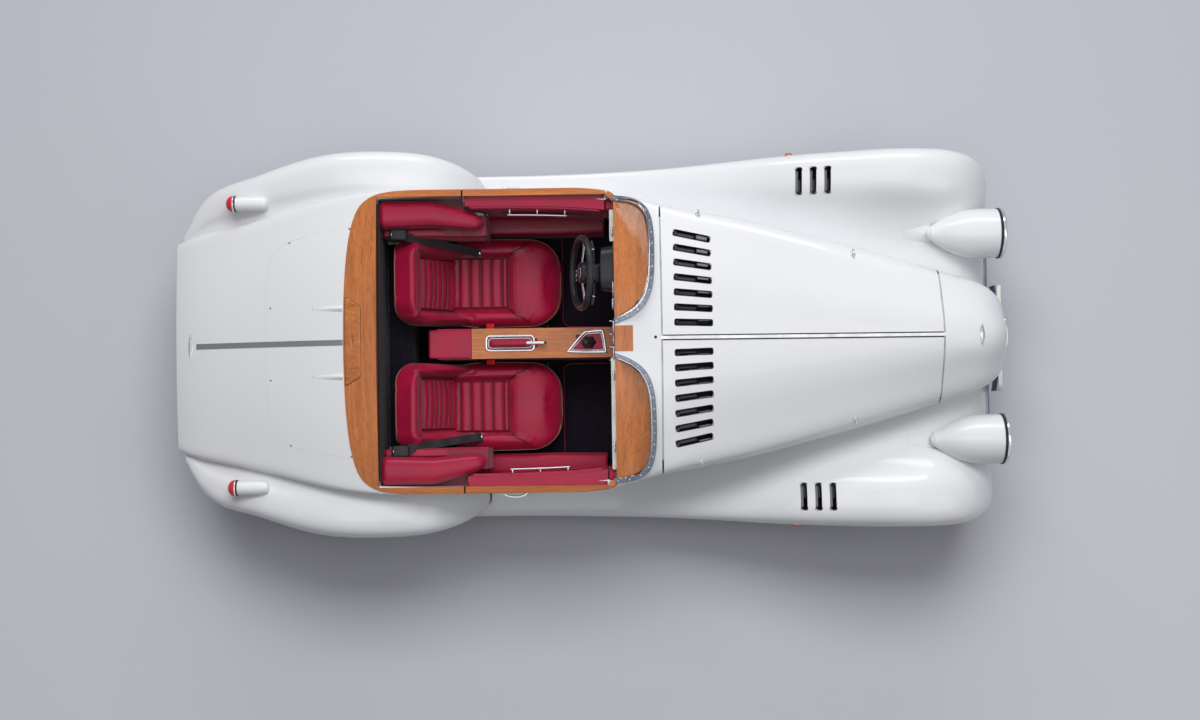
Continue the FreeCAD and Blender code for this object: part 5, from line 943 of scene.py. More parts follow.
def bolster(xs, middles, halves, ends, power=2.6, count=40):
    """Stuffed roll along X: superellipse sections of half width and height, rounded in at both ends.

    xs are its two ends; middles and halves give the section's centre and half sizes at shares
    0, 0.5 and 1 of the run; near an end the section shrinks as sqrt(1 - (1 - d / r)^2).
    """
    length = xs[1] - xs[0]
    run = stations(length, max(ends), 9.0)

    def between(sizes):
        values = np.broadcast_to(np.asarray(sizes, float), (3, 2))
        return np.stack([np.interp(run / length, [0, 0.5, 1], values[:, k]) for k in (0, 1)], axis=1)

    inset = np.maximum(moved_in(run, ends[0]), moved_in(length - run, ends[1]))
    half = np.maximum(between(halves) - inset[:, None], 1.0)
    points = between(middles)[:, None] + half[:, None] * ring(1.0, count, 1.0, power)
    x = np.repeat((xs[0] + run)[:, None], count, axis=1)
    return net(np.dstack([x, points]), wrap=True, caps=True)


class ROADSTER_OT_quarter_trims(bpy.types.Operator):
    """Padded rolls and side pads beside the seats' backs, and the trims of the sills and posts"""

    bl_idname = "roadster.quarter_trims"
    bl_label = "Quarter trims"

    def execute(self, context):
        gone = ["quarter_trims"]
        low, high = node_box(gone[0])
        x0, x1, front = low[0] + 3, high[0] - 2, -500.0
        middle = (x0 + x1) / 2
        rear, centre = landed(np.array([[x0 + 2, 0, 800.0], [middle, 0, 800.0]]), gone, axis=1)[0][:, 1] - 1
        rolls = bolster(
            (x0, front), [(rear - 67, 790), (centre - 68, 792), (556, 772)],
            [(67, 55), (62, 54), (36, 38)], (26, 60), power=2.8,
        )
        pads = bolster(
            (x0 + 6, front), [(517, 636), (517, 634), (514, 610)], [(22, 121), (22, 118), (20, 92)],
            (14, 12), power=6.0, count=56,
        )
        pair("quarter_roll", rolls, "hide", gone, fill=0.9)
        pair("quarter_pad", pads, "hide", gone, fill=0.7)
        stitches = []
        for z in (700.0, 560.0):
            line = [[x, 494.2, z] for x in (x0 + 30, middle, x1 - 24)]
            stitches.append(sweep(curve(line, 60), ring(1.3, 6)))
        end = [[x1 - 10, 496.0, 540.0], [x1 - 8, 494.6, 630.0], [x1 - 10, 497.0, 716.0]]
        stitches.append(sweep(curve(end, 40), ring(1.3, 6), up=X))
        boards = both(
            rounded_slab((low[0], 500, 735.3), (high[0] - 1, 668, 741), 6),
            rounded_slab((high[0] - 14, 500, 730), (front + 4, 594, 737), 6),
            stood(rounded_slab((400, 500, 0), (734, 594, 5), 5), (front, 0, 0)),
        )
        piece("quarter_boards", boards, "hide_dark", gone)
        piece("quarter_stitches", both(*stitches), "hide_dark", gone)
        # Padded sills under the doors, and the posts' trims between the doors and the panel.
        sills = bolster((-586, 62), (585, 314), [(54, 92), (54, 92), (50, 92)], (10, 10), power=5.0)
        posts = bolster((64, 99), (628, 690), [(38, 156), (38, 156), (36, 154)], (8, 3), power=5.0)
        piece("sill_trims", both(sills, posts), "hide", fill=0.7)
        # The door rails' timber runs on over the posts, and a dark sliver of painted shadow closes the gap at
        # each rail's rear end.
        run = curve([(69.5, 671, 884), (86, 663, 885), (101, 649, 886)], 16)
        piece("post_rails", both(sweep(run, ring(15, 24, 0.9, 4.0))), "teak_x")
        piece("rail_end_shadows", both(rounded_slab((-600, 664, 865), (-592, 701, 869.4), 2, 1)), "shadow")
        return {"FINISHED"}


class ROADSTER_OT_carpets(bpy.types.Operator):
    """Bound carpets on the shelf, the bulkheads and the footwell's sides, and loose mats"""

    bl_idname = "roadster.carpets"
    bl_label = "Carpets"

    def execute(self, context):
        shelf = rounded_slab((-984, -488, 506), (-869, 488, 512), 5)
        rear = stood(rounded_slab((506, -640, 0), (884, 640, 5), 14), (-990, 0, 0))
        step = stood(rounded_slab((224, -600, 0), (505, 600, 5), 10), (-870, 0, 0))
        wall = stood(rounded_slab((-590, 224, 0), (96, 392, 5), 10), (0, 616, 0), (0, 2, 1))
        toe = stood(rounded_slab((224, 84, 0), (640, 600, 6), 10), (300, 0, 0))
        mat = rounded_slab((-150, 92, 222.4), (292, 596, 229), 40)
        piece("carpets", joined(shelf, rear, step, both(wall, toe, mat)), "carpet")
        outline = rounded_outline(-150, 292, 92, 596, 40)
        path = even(np.column_stack([outline, np.full(len(outline), 228.0)]), 160, closed=True)
        piece("mat_binding", both(sweep(path, ring(3.2, 8), closed=True)), "hide_dark")
        return {"FINISHED"}


class ROADSTER_OT_console(bpy.types.Operator):
    """Handbrake and gear lever with their bright bezels, gaiter, box lid and buckles"""

    bl_idname = "roadster.console"
    bl_label = "Console"

    def execute(self, context):
        top = node_box("console_timber")[1, 2]
        gear = -22.0
        bright, leather, black = [], [], []

        def bezel(line, height, radius, count, squash=1.0):
            bright.append(sweep(line + Z * (top + height), ring(radius, count, squash), closed=True))

        def shrunk(line, middle, shares):
            return (line - middle) * shares + middle

        corners = rounded_outline(-513, -284, -34, 36, 17)
        outline = even(np.column_stack([corners, np.zeros(len(corners))]), 96, closed=True)
        bezel(outline, 2, 6.0, 10, 0.6)
        bezel(shrunk(outline, (-398.5, 1, 0), (0.90, 0.64, 1)), 1.6, 2.6, 8)
        kite = [(-114, -33), (-48, 42), (-26, 51), (30, 56), (46, 47), (58, -38), (48, -46), (-106, -43)]
        kite = np.column_stack([kite, np.zeros(len(kite))])
        bezel(curve(kite, 110, closed=True), 2, 6.0, 10, 0.6)
        inner = curve(shrunk(kite, (-4.0, -3.0, 0.0), (0.84, 0.80, 1)), 110, closed=True)
        bezel(inner, 1.4, 2.2, 8)
        leather.append(slab(inner[:, :2], top - 5, top + 1.2, 1.5))
        leather.append(slab(outline[:, :2], top - 12, top + 0.8, 1.5))
        grip = [(-494, 0, top + 8), (-440, 0, top + 13), (-370, 0, top + 20), (-318, 0, top + 25)]
        sizes = np.interp(np.linspace(0, 1, 48), [0, 0.08, 0.5, 0.92, 1], [0.55, 0.95, 1.0, 0.92, 0.7])
        leather.append(sweep(curve(grip, 48), ring(16.0, 20, 0.9, 2.6), sizes=sizes))
        lever = [(-328, 0, top + 24), (-280, 0, top + 29), (-232, 0, top + 33)]
        bright.append(sweep(curve(lever, 24), ring(9.6, 16)))
        black.append(turned([(5.4, 0.4), (6.0, 4), (5.6, 8)], lever[-1], (1, 0, 0.1), 20))
        # Gaiter: a cone whose folds are a cosine round it, deeper towards its foot.
        turn = np.arange(72) * 2 * np.pi / 72
        share = np.linspace(0, 1, 16)[:, None]
        radius = 30 - 21 * share**0.8 + 2.2 * (1 - share) * np.cos(turn * 6)
        radius = radius + 1.1 * np.sin(share * np.pi * 4) * (1 - share)
        folds = np.dstack([
            gear - 8 * share + radius * np.cos(turn) * 1.15, radius * np.sin(turn),
            np.broadcast_to(top + 1 + 42 * share, radius.shape),
        ])
        black.append(net(folds, wrap=True))
        stem = [(9.5, 0), (9.8, 4), (6.2, 6), (6.0, 26)]
        bright.append(turned(stem, (gear - 8, 0, top + 41), (-0.1, 0, 1), 24))
        knob = [(9, 1), (14, 8), (18.5, 19), (18.8, 27), (15, 34), (8, 37)]
        black.append(turned(knob, (gear - 11, 0, top + 62), (-0.08, 0, 1), 32))
        piece("console_bezels", joined(*bright), "chrome", ["console_levers"])
        piece("console_leather", joined(*leather), "hide", ["console_levers"])
        piece("console_gaiter", joined(*black), "black_hide", ["console_levers"])
        lid = bolster((-788, -584), (0, top - 2), [(68, 10), (70, 11), (70, 10)], (10, 4), power=5.0)
        piece("console_lid", lid, "hide", fill=0.7)
        holders, buttons = [], []
        for side in (-1, 1):
            stalk = [(-560, side * 82, 400), (-540, side * 83, 440), (-520, side * 84, 462)]
            holders.append(sweep(curve(stalk, 20), ring(9, 12, 0.4, 5), up=Y))
            body = [(-532, side * 84, 452), (-510, side * 84.5, 476), (-492, side * 85, 492)]
            wide = np.interp(np.linspace(0, 1, 20), [0, 0.1, 0.9, 1], [0.8, 1, 1, 0.85])
            holders.append(sweep(curve(body, 20), ring(11, 20, 1.3, 5), up=Y, sizes=wide))
            tip = [(-514, side * 86, 489), (-496, side * 86, 497), (-478, side * 86, 505)]
            buttons.append(sweep(curve(tip, 12), ring(7, 16, 1.9, 5), up=Y))
        piece("belt_buckles", joined(*holders), "plastic")
        piece("belt_buttons", joined(*buttons), "red_plastic")
        return {"FINISHED"}


class ROADSTER_OT_steering(bpy.types.Operator):
    """Leather-rimmed wheel with brushed spokes, its shroud and stalks"""

    bl_idname = "roadster.steering"
    bl_label = "Steering"

    def execute(self, context):
        centre, radius = np.array([-50.0, 310.0, 842.0]), 163
        slope = math.radians(15.0)
        back = np.array([-math.cos(slope), 0, math.sin(slope)])
        axes = np.array([Y, (math.sin(slope), 0, math.cos(slope)), back])

        def on_wheel(name, shape, finish, slot=None):
            piece(name, moved(shape, centre, axes), finish, ["steering_wheel"], "hand_wheel", slot)

        turn = np.arange(192) * 2 * np.pi / 192
        circle = np.column_stack([radius * np.cos(turn), radius * np.sin(turn), np.zeros(192)])
        # The rim swells by a tenth at the thumb rests, 26 degrees above its middle on each side.
        swell = 1 + 0.1 * (bell(turn - 0.45, 0.22) + bell(turn - (np.pi - 0.45), 0.22))
        on_wheel("wheel_rim", sweep(circle, ring(13.2, 20, 1.06), closed=True, sizes=swell), "black_hide")
        shrink = 149.8 / radius
        stitch = sweep(circle * (shrink, shrink, 1), ring(1.2, 6), closed=True)
        on_wheel("wheel_stitch", stitch, "frame", "black")
        spokes = []
        inner, outer = 34, 153
        for angle in (0.0, 180.0, 270.0):
            a = math.radians(angle)
            along, aside = np.array([math.cos(a), math.sin(a), 0]), np.array([-math.sin(a), math.cos(a), 0])
            reach = np.linspace(inner, outer, 30)
            dish = -14 * np.sin(np.pi * (reach - inner) / (2 * (outer - inner)))[:, None] * Z
            for off in (-9.5, 9.5):
                spread = np.interp(reach, [inner, 110, outer], [0.7, 0.9, 1.35])
                path = reach[:, None] * along + off * spread[:, None] * aside + dish
                spokes.append(sweep(path, ring(6.2, 12, 0.34, 4.0)))
            foot = np.array([along * 150 - aside * 26, along * outer, along * 150 + aside * 26]) - 14 * Z
            spokes.append(sweep(curve(foot, 16), ring(5, 10, 0.5, 3.0)))
        on_wheel("wheel_spokes", joined(*spokes), "brushed")
        boss = [(44, -22), (50, -16), (51, -2), (46, 7), (34, 12), (30, 12.5), (29, 10), (22, 12.5)]
        on_wheel("wheel_boss", turned(boss, count=56), "black_hide")
        bead = [(30, 11), (32.5, 13.4), (35, 11.5), (33, 10)]
        on_wheel("wheel_boss_ring", turned(bead, count=56, loop=True), "chrome")
        # Shroud: rounded section that widens towards the panel.
        run = np.linspace(0, 1, 26)[:, None]
        path = centre - back * (24 + 118 * run) - 6 * Z * run
        grow = np.interp(run[:, 0], [0, 0.12, 0.4, 1], [0.62, 0.86, 1.0, 1.08])
        shroud = sweep(path, ring(44, 40, 0.86, 3.4), sizes=grow)
        tube = sweep(centre - back * (18 + 20 * run), ring(25, 28))
        piece("column_shroud", joined(shroud, tube), "plastic", ["steering_column"])
        stalks, tips = [], []
        root = centre - back * 62
        for side, tilt in ((1, 18.0), (-1, 14.0)):
            start, end = root + (0, side * 36, 4), root + (-12, side * 150, tilt)
            line = curve([start, (start + end) / 2 + (4, 0, 2), end], 30)
            marks, shares = [0, 0.3, 0.62, 0.66, 0.97, 1], [0.8, 0.7, 0.8, 1.25, 1.15, 0.6]
            size = np.interp(np.linspace(0, 1, 30), marks, shares)
            stalks.append(sweep(line, ring(6.6, 14, 0.7, 3.0), sizes=size))
            tips.append(sweep(line[18:20], ring(8.8, 14, 0.7, 3.0)))
        piece("column_stalks", joined(*stalks), "plastic")
        piece("stalk_rings", joined(*tips), "chrome")
        return {"FINISHED"}


class ROADSTER_OT_door_trims(bpy.types.Operator):
    """Door trims' rolls, pulls, pockets and pins, each riding on its door"""

    bl_idname = "roadster.door_trims"
    bl_label = "Door trims"

    def execute(self, context):
        for side, name in ((1, "left"), (-1, "right")):
            self.door(side, name)
        return {"FINISHED"}

    def door(self, side, name):
        def on_trim(xs, zs, lift=0.0):
            xs, zs = np.broadcast_arrays(np.atleast_1d(np.asarray(xs, float)), zs)
            line = np.column_stack([xs.ravel(), np.zeros(xs.size), zs.ravel()])
            return landed(line, [f"door_trim_{name}"], axis=1, sign=-side, lift=lift)

        def on_door(kind, shape, finish, fill=None):
            piece(f"door_{kind}_{name}", shape, finish, body=f"door_unit_{name}", fill=fill)

        rear, front = -570, 46
        xs = np.linspace(rear, front, 90)
        share = (xs - rear) / (front - rear)
        band, out = on_trim(xs, 846 - 4 * share, 3.0)
        near_end = 1 - np.minimum(xs - rear, front - xs) / 16
        halves = np.minimum(1, np.sqrt(1 - np.clip(near_end, 0, 1) ** 2) + 0.02)
        roll = sweep(band + 4 * Z, ring(15, 20, 0.72, 2.6), up=out, sizes=halves)
        on_door("roll", roll, "hide", 0.9)
        # Capping: a sheet of hide from the trim's top to the rail's foot, its edges turned down.
        u, v = patch((-583, 59, 60), (0, 1, 9))
        capping = np.dstack([u, side * (647 + 38 * v), 864.0 + 4.8 * smoothed(v, 0, 0.12)])
        on_door("capping", walled(capping, capping - 6.0 * Z), "hide")
        stitches = []
        for height, start in ((822.0, 6), (470.0, 30)):
            line, out = on_trim(xs[start:-4], height, 0.4)
            stitches.append(sweep(line, ring(1.3, 6), up=out))
        on_door("stitch", joined(*stitches), "hide_dark")
        # Pocket: a gathered pouch, deepest in its middle, held by a welt along its mouth.
        u, v = patch((0, 1, 60), (0, 1, 16))
        base, out = on_trim(-420 + 400 * u, 490 + 150 * v, 0.5)
        base = base.reshape(60, 16, 3)
        belly = 15 * np.sin(np.pi * u) ** 0.5 * (0.25 + 0.75 * v) * smoothed(v, 0, 0.12)
        belly = belly * (1 + 0.05 * np.sin(u * 50) * v)
        pouch = base + belly[..., None] * (0, -side, 0)
        on_door("pocket", walled(pouch, base), "hide", 0.4)
        on_door("welt", sweep(pouch[:, -1] + Z, ring(3.4, 10)), "hide_dark")
        pull, out = on_trim(np.linspace(-396, -112, 40), 742.0, 26.0)
        pull += Z * 2 * np.sin(np.linspace(0, np.pi, 40))[:, None]
        bright = [sweep(pull, ring(5.2, 14, 1.0))]
        feet, face = on_trim((-384.0, -254.0, -124.0), 742.0)
        profile = [(11, -1), (11, 2), (6.5, 4), (4.6, 9), (4.4, 25)]
        bright += [turned(profile, foot, away, 24) for foot, away in zip(feet, face)]
        pin, face = on_trim(-548.0, 800.0)
        bright.append(turned([(7, 0), (7, 3), (4, 5)], pin[0], face[0], 20))
        on_door("pull", joined(*bright), "chrome")


def stroke_ring(count, inner, outer, half):
    """Flat ticks on a dial: count bars between two radii, turned from -45 to 225 degrees."""
    turn = np.radians(np.linspace(-45, 225, count))[:, None]
    x, y = np.array([(inner, -half), (outer, -half), (outer, half), (inner, half)]).T
    x, y = x * np.cos(turn) - y * np.sin(turn), x * np.sin(turn) + y * np.cos(turn)
    return np.dstack([x, y, np.zeros(x.shape)]).reshape(-1, 3), [np.arange(count * 4).reshape(count, 4)]


class ROADSTER_OT_dashboard(bpy.types.Operator):
    """Dials, hood, switches, vents and glove lid of the instrument panel, and the pedals under it"""

    bl_idname = "roadster.dashboard"
    bl_label = "Dashboard"

    def execute(self, context):
        face = 99.2

        def on_panel(y, z, shape, depth=0.0):
            return moved(shape, (face - depth, y, z), np.array([-Y, Z, -X]))

        bright, faces, ticks, needles, glass = [], [], [], [], []
        for y, z, r in ((362, 848, 50), (250, 848, 50), (58, 850, 34), (-58, 850, 34), (0, 772, 30)):
            bezel = [(r, 0), (r + 5, 1), (r + 5.5, 6), (r + 2, 9), (r - 2, 7), (r - 2.5, 2)]
            bright.append(on_panel(y, z, turned(bezel, loop=True)))
            faces.append(on_panel(y, z, turned([(r - 1, 1.5), (r, 0.4)])))
            marks = stroke_ring(11, r * 0.72, r * 0.9, 1.0), stroke_ring(41, r * 0.82, r * 0.9, 0.35)
            ticks.append(on_panel(y, z, joined(*marks), 1.9))
            a = math.radians(205 if r > 40 else 150)
            tip = np.array([math.cos(a), math.sin(a), 0]) * r
            path = [tip * -0.18 + 3 * Z, 3.2 * Z, tip * 0.76 + 3 * Z]
            hand = sweep(path, ring(1.5, 8, 0.5), sizes=[1.4, 1.2, 0.35])
            needles.append(on_panel(y, z, joined(hand, turned([(4, 4.4), (5, 2), (5, 1.6)], count=20))))
            pane = [(r * 0.6, 7.0), (r - 2, 5.4), (r - 2, 4.6), (r * 0.6, 6.2)]
            glass.append(on_panel(y, z, turned(pane, count=40)))
        piece("dial_bezels", joined(*bright), "chrome")
        piece("dial_faces", joined(*faces), "dial")
        piece("dial_marks", joined(*ticks), "plastic", outward=False)
        piece("dial_needles", joined(*needles), "needle")
        piece("dial_glasses", joined(*glass), "lens")
        # Hood over the two driver's dials: an arch whose lip runs out towards the wheel.
        middle, foot = 326, 846
        u, v = patch((0, 1, 48), (0, 1, 14))
        angle = np.pi * (1 - u)
        c, s = np.cos(angle), np.abs(np.sin(angle))
        y = middle + np.sign(c) * np.abs(c) ** 0.62 * (108 - 8 * v)
        z = foot + s**0.62 * (60 - 4 * v) - 30 * (1 - s**0.4)
        x = face - 52 * v - 10 * v * np.sin(angle)
        inner = np.dstack([x, middle + (y - middle) * 0.965, foot + (z - foot) * 0.94])
        piece("dial_hood", walled(np.dstack([x, y, z]), inner), "black_hide")
        # Pale capping along the panel's top edge, on both sides of the hood.
        spans = ((-600, -84), (452, 600))
        ledges = [rounded_slab((82, y0, 856), (face + 1, y1, 864), 5) for y0, y1 in spans]
        piece("dash_ledges", joined(*ledges), "white")
        toggle = turned([(8, 0), (8, 3), (4.4, 5), (3.6, 17), (4.6, 22)], count=20)
        switches = [on_panel(y, 730, toggle) for y in (92, 30, -30, -92)]
        piece("dash_switches", joined(*switches), "chrome")
        vent = turned([(24, 0), (30, 1), (31, 8), (27, 11), (23, 8), (22, 0)], count=40, loop=True)
        bars = [turned([(23, 0.6), (23.5, 0.2)], count=32)]
        for offset in (-13, -4.5, 4.5, 13):
            reach = math.sqrt(23**2 - offset**2)
            bars.append(sweep([(-reach, offset, 5), (0, offset, 5.5), (reach, offset, 5)], ring(1.4, 8, 3.0)))
        places = (498, -498, 168, -168)
        piece("dash_vents", joined(*(on_panel(y, 846, vent) for y in places)), "chrome")
        piece("dash_slats", joined(*(on_panel(y, 846, joined(*bars)) for y in places)), "plastic")
        lid = stood(rounded_slab((722, 210, 0), (806, 470, 7), 14, 3), (face - 7.0, 0, 0))
        piece("glove_lid", mirrored(lid), "hide")
        piece("glove_knob", on_panel(-340, 790, turned([(7, 0), (8, 6), (5, 9)], count=24), 7), "chrome")
        self.pedals()
        return {"FINISHED"}

    def pedals(self):
        """Ribbed pads, leaning back, on their arms."""
        pads, arms = [], []
        lean = math.radians(32)
        tilt = np.array([(math.sin(lean), 0, math.cos(lean)), Y, (-math.cos(lean), 0, math.sin(lean))])
        for y, x, wide, tall in ((205, 268, 28, 62), (262, 262, 34, 32), (352, 262, 34, 32)):
            at = np.array([x, y, 352.0])
            ribs = [
                sweep([(t, 6 - wide, 8), (t, 0, 8.6), (t, wide - 6, 8)], ring(2.2, 8))
                for t in np.linspace(9 - tall, tall - 9, 5)
            ]
            pad = rounded_slab((-tall, -wide, 0), (tall, wide, 8), 10)
            pads.append(moved(joined(pad, *ribs), at, tilt))
            arm = at + [(6, 0, -4), (40, 0, 60), (52, 0, 170), (40, 0, 240)]
            arms.append(sweep(curve(arm, 24), ring(7, 12, 0.6, 4), up=Y))
        piece("pedal_pads", joined(*pads), "brushed")
        piece("pedal_arms", joined(*arms), "frame")


class ROADSTER_OT_belts(bpy.types.Operator):
    """Reels, webbing and bright guides of the two belts"""

    bl_idname = "roadster.belts"
    bl_label = "Belts"

    def execute(self, context):
        gone = ["seat_belts"]
        x0 = node_box(gone[0])[0, 0]
        path = [
            (x0 + 30, 506, 795), (x0 + 58, 500, 786), (x0 + 92, 492, 757), (-770, 478, 668), (-700, 467, 598),
            (-630, 457, 528), (-575, 450, 474), (-545, 447, 447),
        ]
        # The webbing lies across the seat's bolster, its face up and a little inwards.
        strap = sweep(curve(path, 90), ring(22.0, 24, 0.06, 5.0), up=(0, -0.45, 1))
        piece("belt_webbing", both(strap), "webbing", gone)
        reel = bolster((x0 + 2, x0 + 84), (507, 779), [(28, 22), (31, 24), (29, 22)], (9, 12), power=3.6)
        cheeks = [turned([(23, 0), (24, 1.5), (23, 3)], (x, 510, 779), X, 40) for x in (x0 + 8, x0 + 72)]
        piece("belt_reels", both(reel, *cheeks), "plastic", gone)
        loop = rounded_outline(-26, 26, -7, 7, 5)
        guide = np.column_stack([np.full(len(loop), x0 + 14.0), 504 + loop[:, 1], 790 + loop[:, 0]])
        bar = sweep(even(guide, 80, closed=True), ring(2.2, 10), up=X, closed=True)
        anchor = turned([(10, 0), (10, 4), (6, 6)], path[-1] + 5 * Z, (0.6, 0, 0.8), 20)
        piece("belt_guides", both(bar, anchor), "chrome", gone)
        return {"FINISHED"}


def slot_dress(nodes, centre, length, width, degrees, skin, lit_span):
    """A slot's black bezel, the tray under the skin in painted shadow, its slat dark as painted shade and a
    pale slat of some width as painted light.

    Every ring is a round-cornered rectangle turned about the centre. It follows the panel: its
    height is the panel's at the slot's outline plus a depth.
    """
    a = math.radians(degrees)
    along, across = np.array([(math.cos(a), math.sin(a)), (-math.sin(a), math.cos(a))])

    def opening(by, radius):
        far, side = (length + by) / 2, (width + by) / 2
        return rounded_outline(-far, far, -side, side, radius) @ np.array([along, across]) + centre

    outer, hole, tray = opening(5.0, 9.5), opening(-1.2, width / 2 - 0.8), opening(4.0, 12.0)
    under, floor = opening(2.0, 12.0), opening(-width * 0.96, 0.1)
    height = laid_on(nodes, *outer.T)[0][:, 2]
    slope = np.linalg.lstsq(np.column_stack([outer - centre, np.ones(len(outer))]), height, rcond=None)[0]

    def ringed(*rows):
        return np.array([np.column_stack([flat, height + depth]) for flat, depth in rows])

    def slat(start, end, low, high, depth):
        """A plate between shares of the slot's length and width, its low side deeper."""
        u, v = patch((start, end, 9), (low, high, 5))
        flat = centre + (u[..., None] - 0.5) * length * along + v[..., None] * width * across
        fall = -skin - depth - 10 * (high - v)
        top = np.dstack([flat, (flat - centre) @ slope[:2] + slope[2] + fall])
        return walled(top, top - 1.6 * Z)

    lip = ((outer, -1.5), (outer, 0.5), (opening(3.0, 9.0), 1.1), (hole, 0.6), (hole, -skin - 3))
    box = (
        (floor, -skin - 42), (tray, -skin - 42), (tray, -skin - 0.6), (under, -skin - 0.6),
        (under, -skin - 38), (floor, -skin - 38),
    )
    return (
        net(ringed(*lip), wrap=True, closed=True), net(ringed(*box), wrap=True, caps=True),
        joined(slat(0.08, 0.58, -0.44, 0.16, 9), slat(0.03, 0.10, -0.4, 0.4, 5)), slat(*lit_span),
    )


class ROADSTER_OT_louvres(bpy.types.Operator):
    """Black bezels, trays and slats of the bonnet's and wings' slots"""

    bl_idname = "roadster.louvres"
    bl_label = "Louvres"

    def execute(self, context):
        kinds = (("bezels", "plastic"), ("trays", "shadow"), ("shaded_slats", "liner"), ("lit_slats", "grey"))
        # The pale slat is painted light: the lit part of each slot's slat, wider towards the outside, and
        # wider on the left where the key lamp stands.
        for side, reach in (("left", 0.07), ("right", 0.02)):
            made = [
                slot_dress(
                    ["bonnet_left"], (459.0, 67.0 * i), 172.0, 28.0, -12.0 * i / 7, 8.0,
                    (0.62, 0.94, 0.40 - max(reach * (i - 1) * 1.7, 0.08), 0.42, 4),
                )
                for i in range(1, 8)
            ]
            for (kind, finish), group in zip(kinds, zip(*made)):
                shape = joined(*group) if side == "left" else mirrored(joined(*group))
                piece(f"bonnet_{kind}_{side}", shape, finish, body=f"bonnet_half_{side}", slot="black")
        made = [
            slot_dress(
                ["front_wing_left"], (1048.0 + 66.0 * i, 745.0), 125.0, 30.0, 90.0, 12.0,
                (0.04, 0.93, -0.05, 0.46, 3),
            )
            for i in (-1, 0, 1)
        ]
        for (kind, finish), group in zip(kinds, zip(*made)):
            piece(f"wing_{kind}", both(*group), finish, slot="black")
        return {"FINISHED"}


def blister(names, x, y, rise, depth):
    """A low closed form on a panel: it rises at each point of grids x and y, and ends below the panel."""
    base, normal = laid_on(names, x, y)
    top = (base + normal * rise.reshape(-1, 1)).reshape(*rise.shape, 3)
    return walled(top, (base - normal * depth).reshape(*rise.shape, 3))


def ridge(names, x0, x1, y, width, height):
    """A fairing that fades out: height (1 - u)^1.6 (1 - v^2)^1.5 over a panel, v across its width."""
    u, v = patch((0, 1, 30), (-1, 1, 17))
    rise = height * (1 - u) ** 1.6 * (1 - v**2) ** 1.5 + 0.15
    return blister(names, x0 + (x1 - x0) * u, y + width * (1 - 0.55 * u) * v, rise, 1.5)


def meeting(x, inner, outer, ys):
    """Where an outer panel's top passes above an inner one's, station by station, smoothed in x."""
    rows = []
    for station in x:
        tops = [laid_on(names, station, ys, missing=0.0)[0][:, 2] for names in (inner, outer)]
        rows.append(ys[np.nonzero(tops[0] > tops[1])[0][-1]])
    return np.minimum(np.polyval(np.polyfit(x, rows, 6), x), ys[-1])


SHELL = ["body_tub", "rear_deck_panel"]


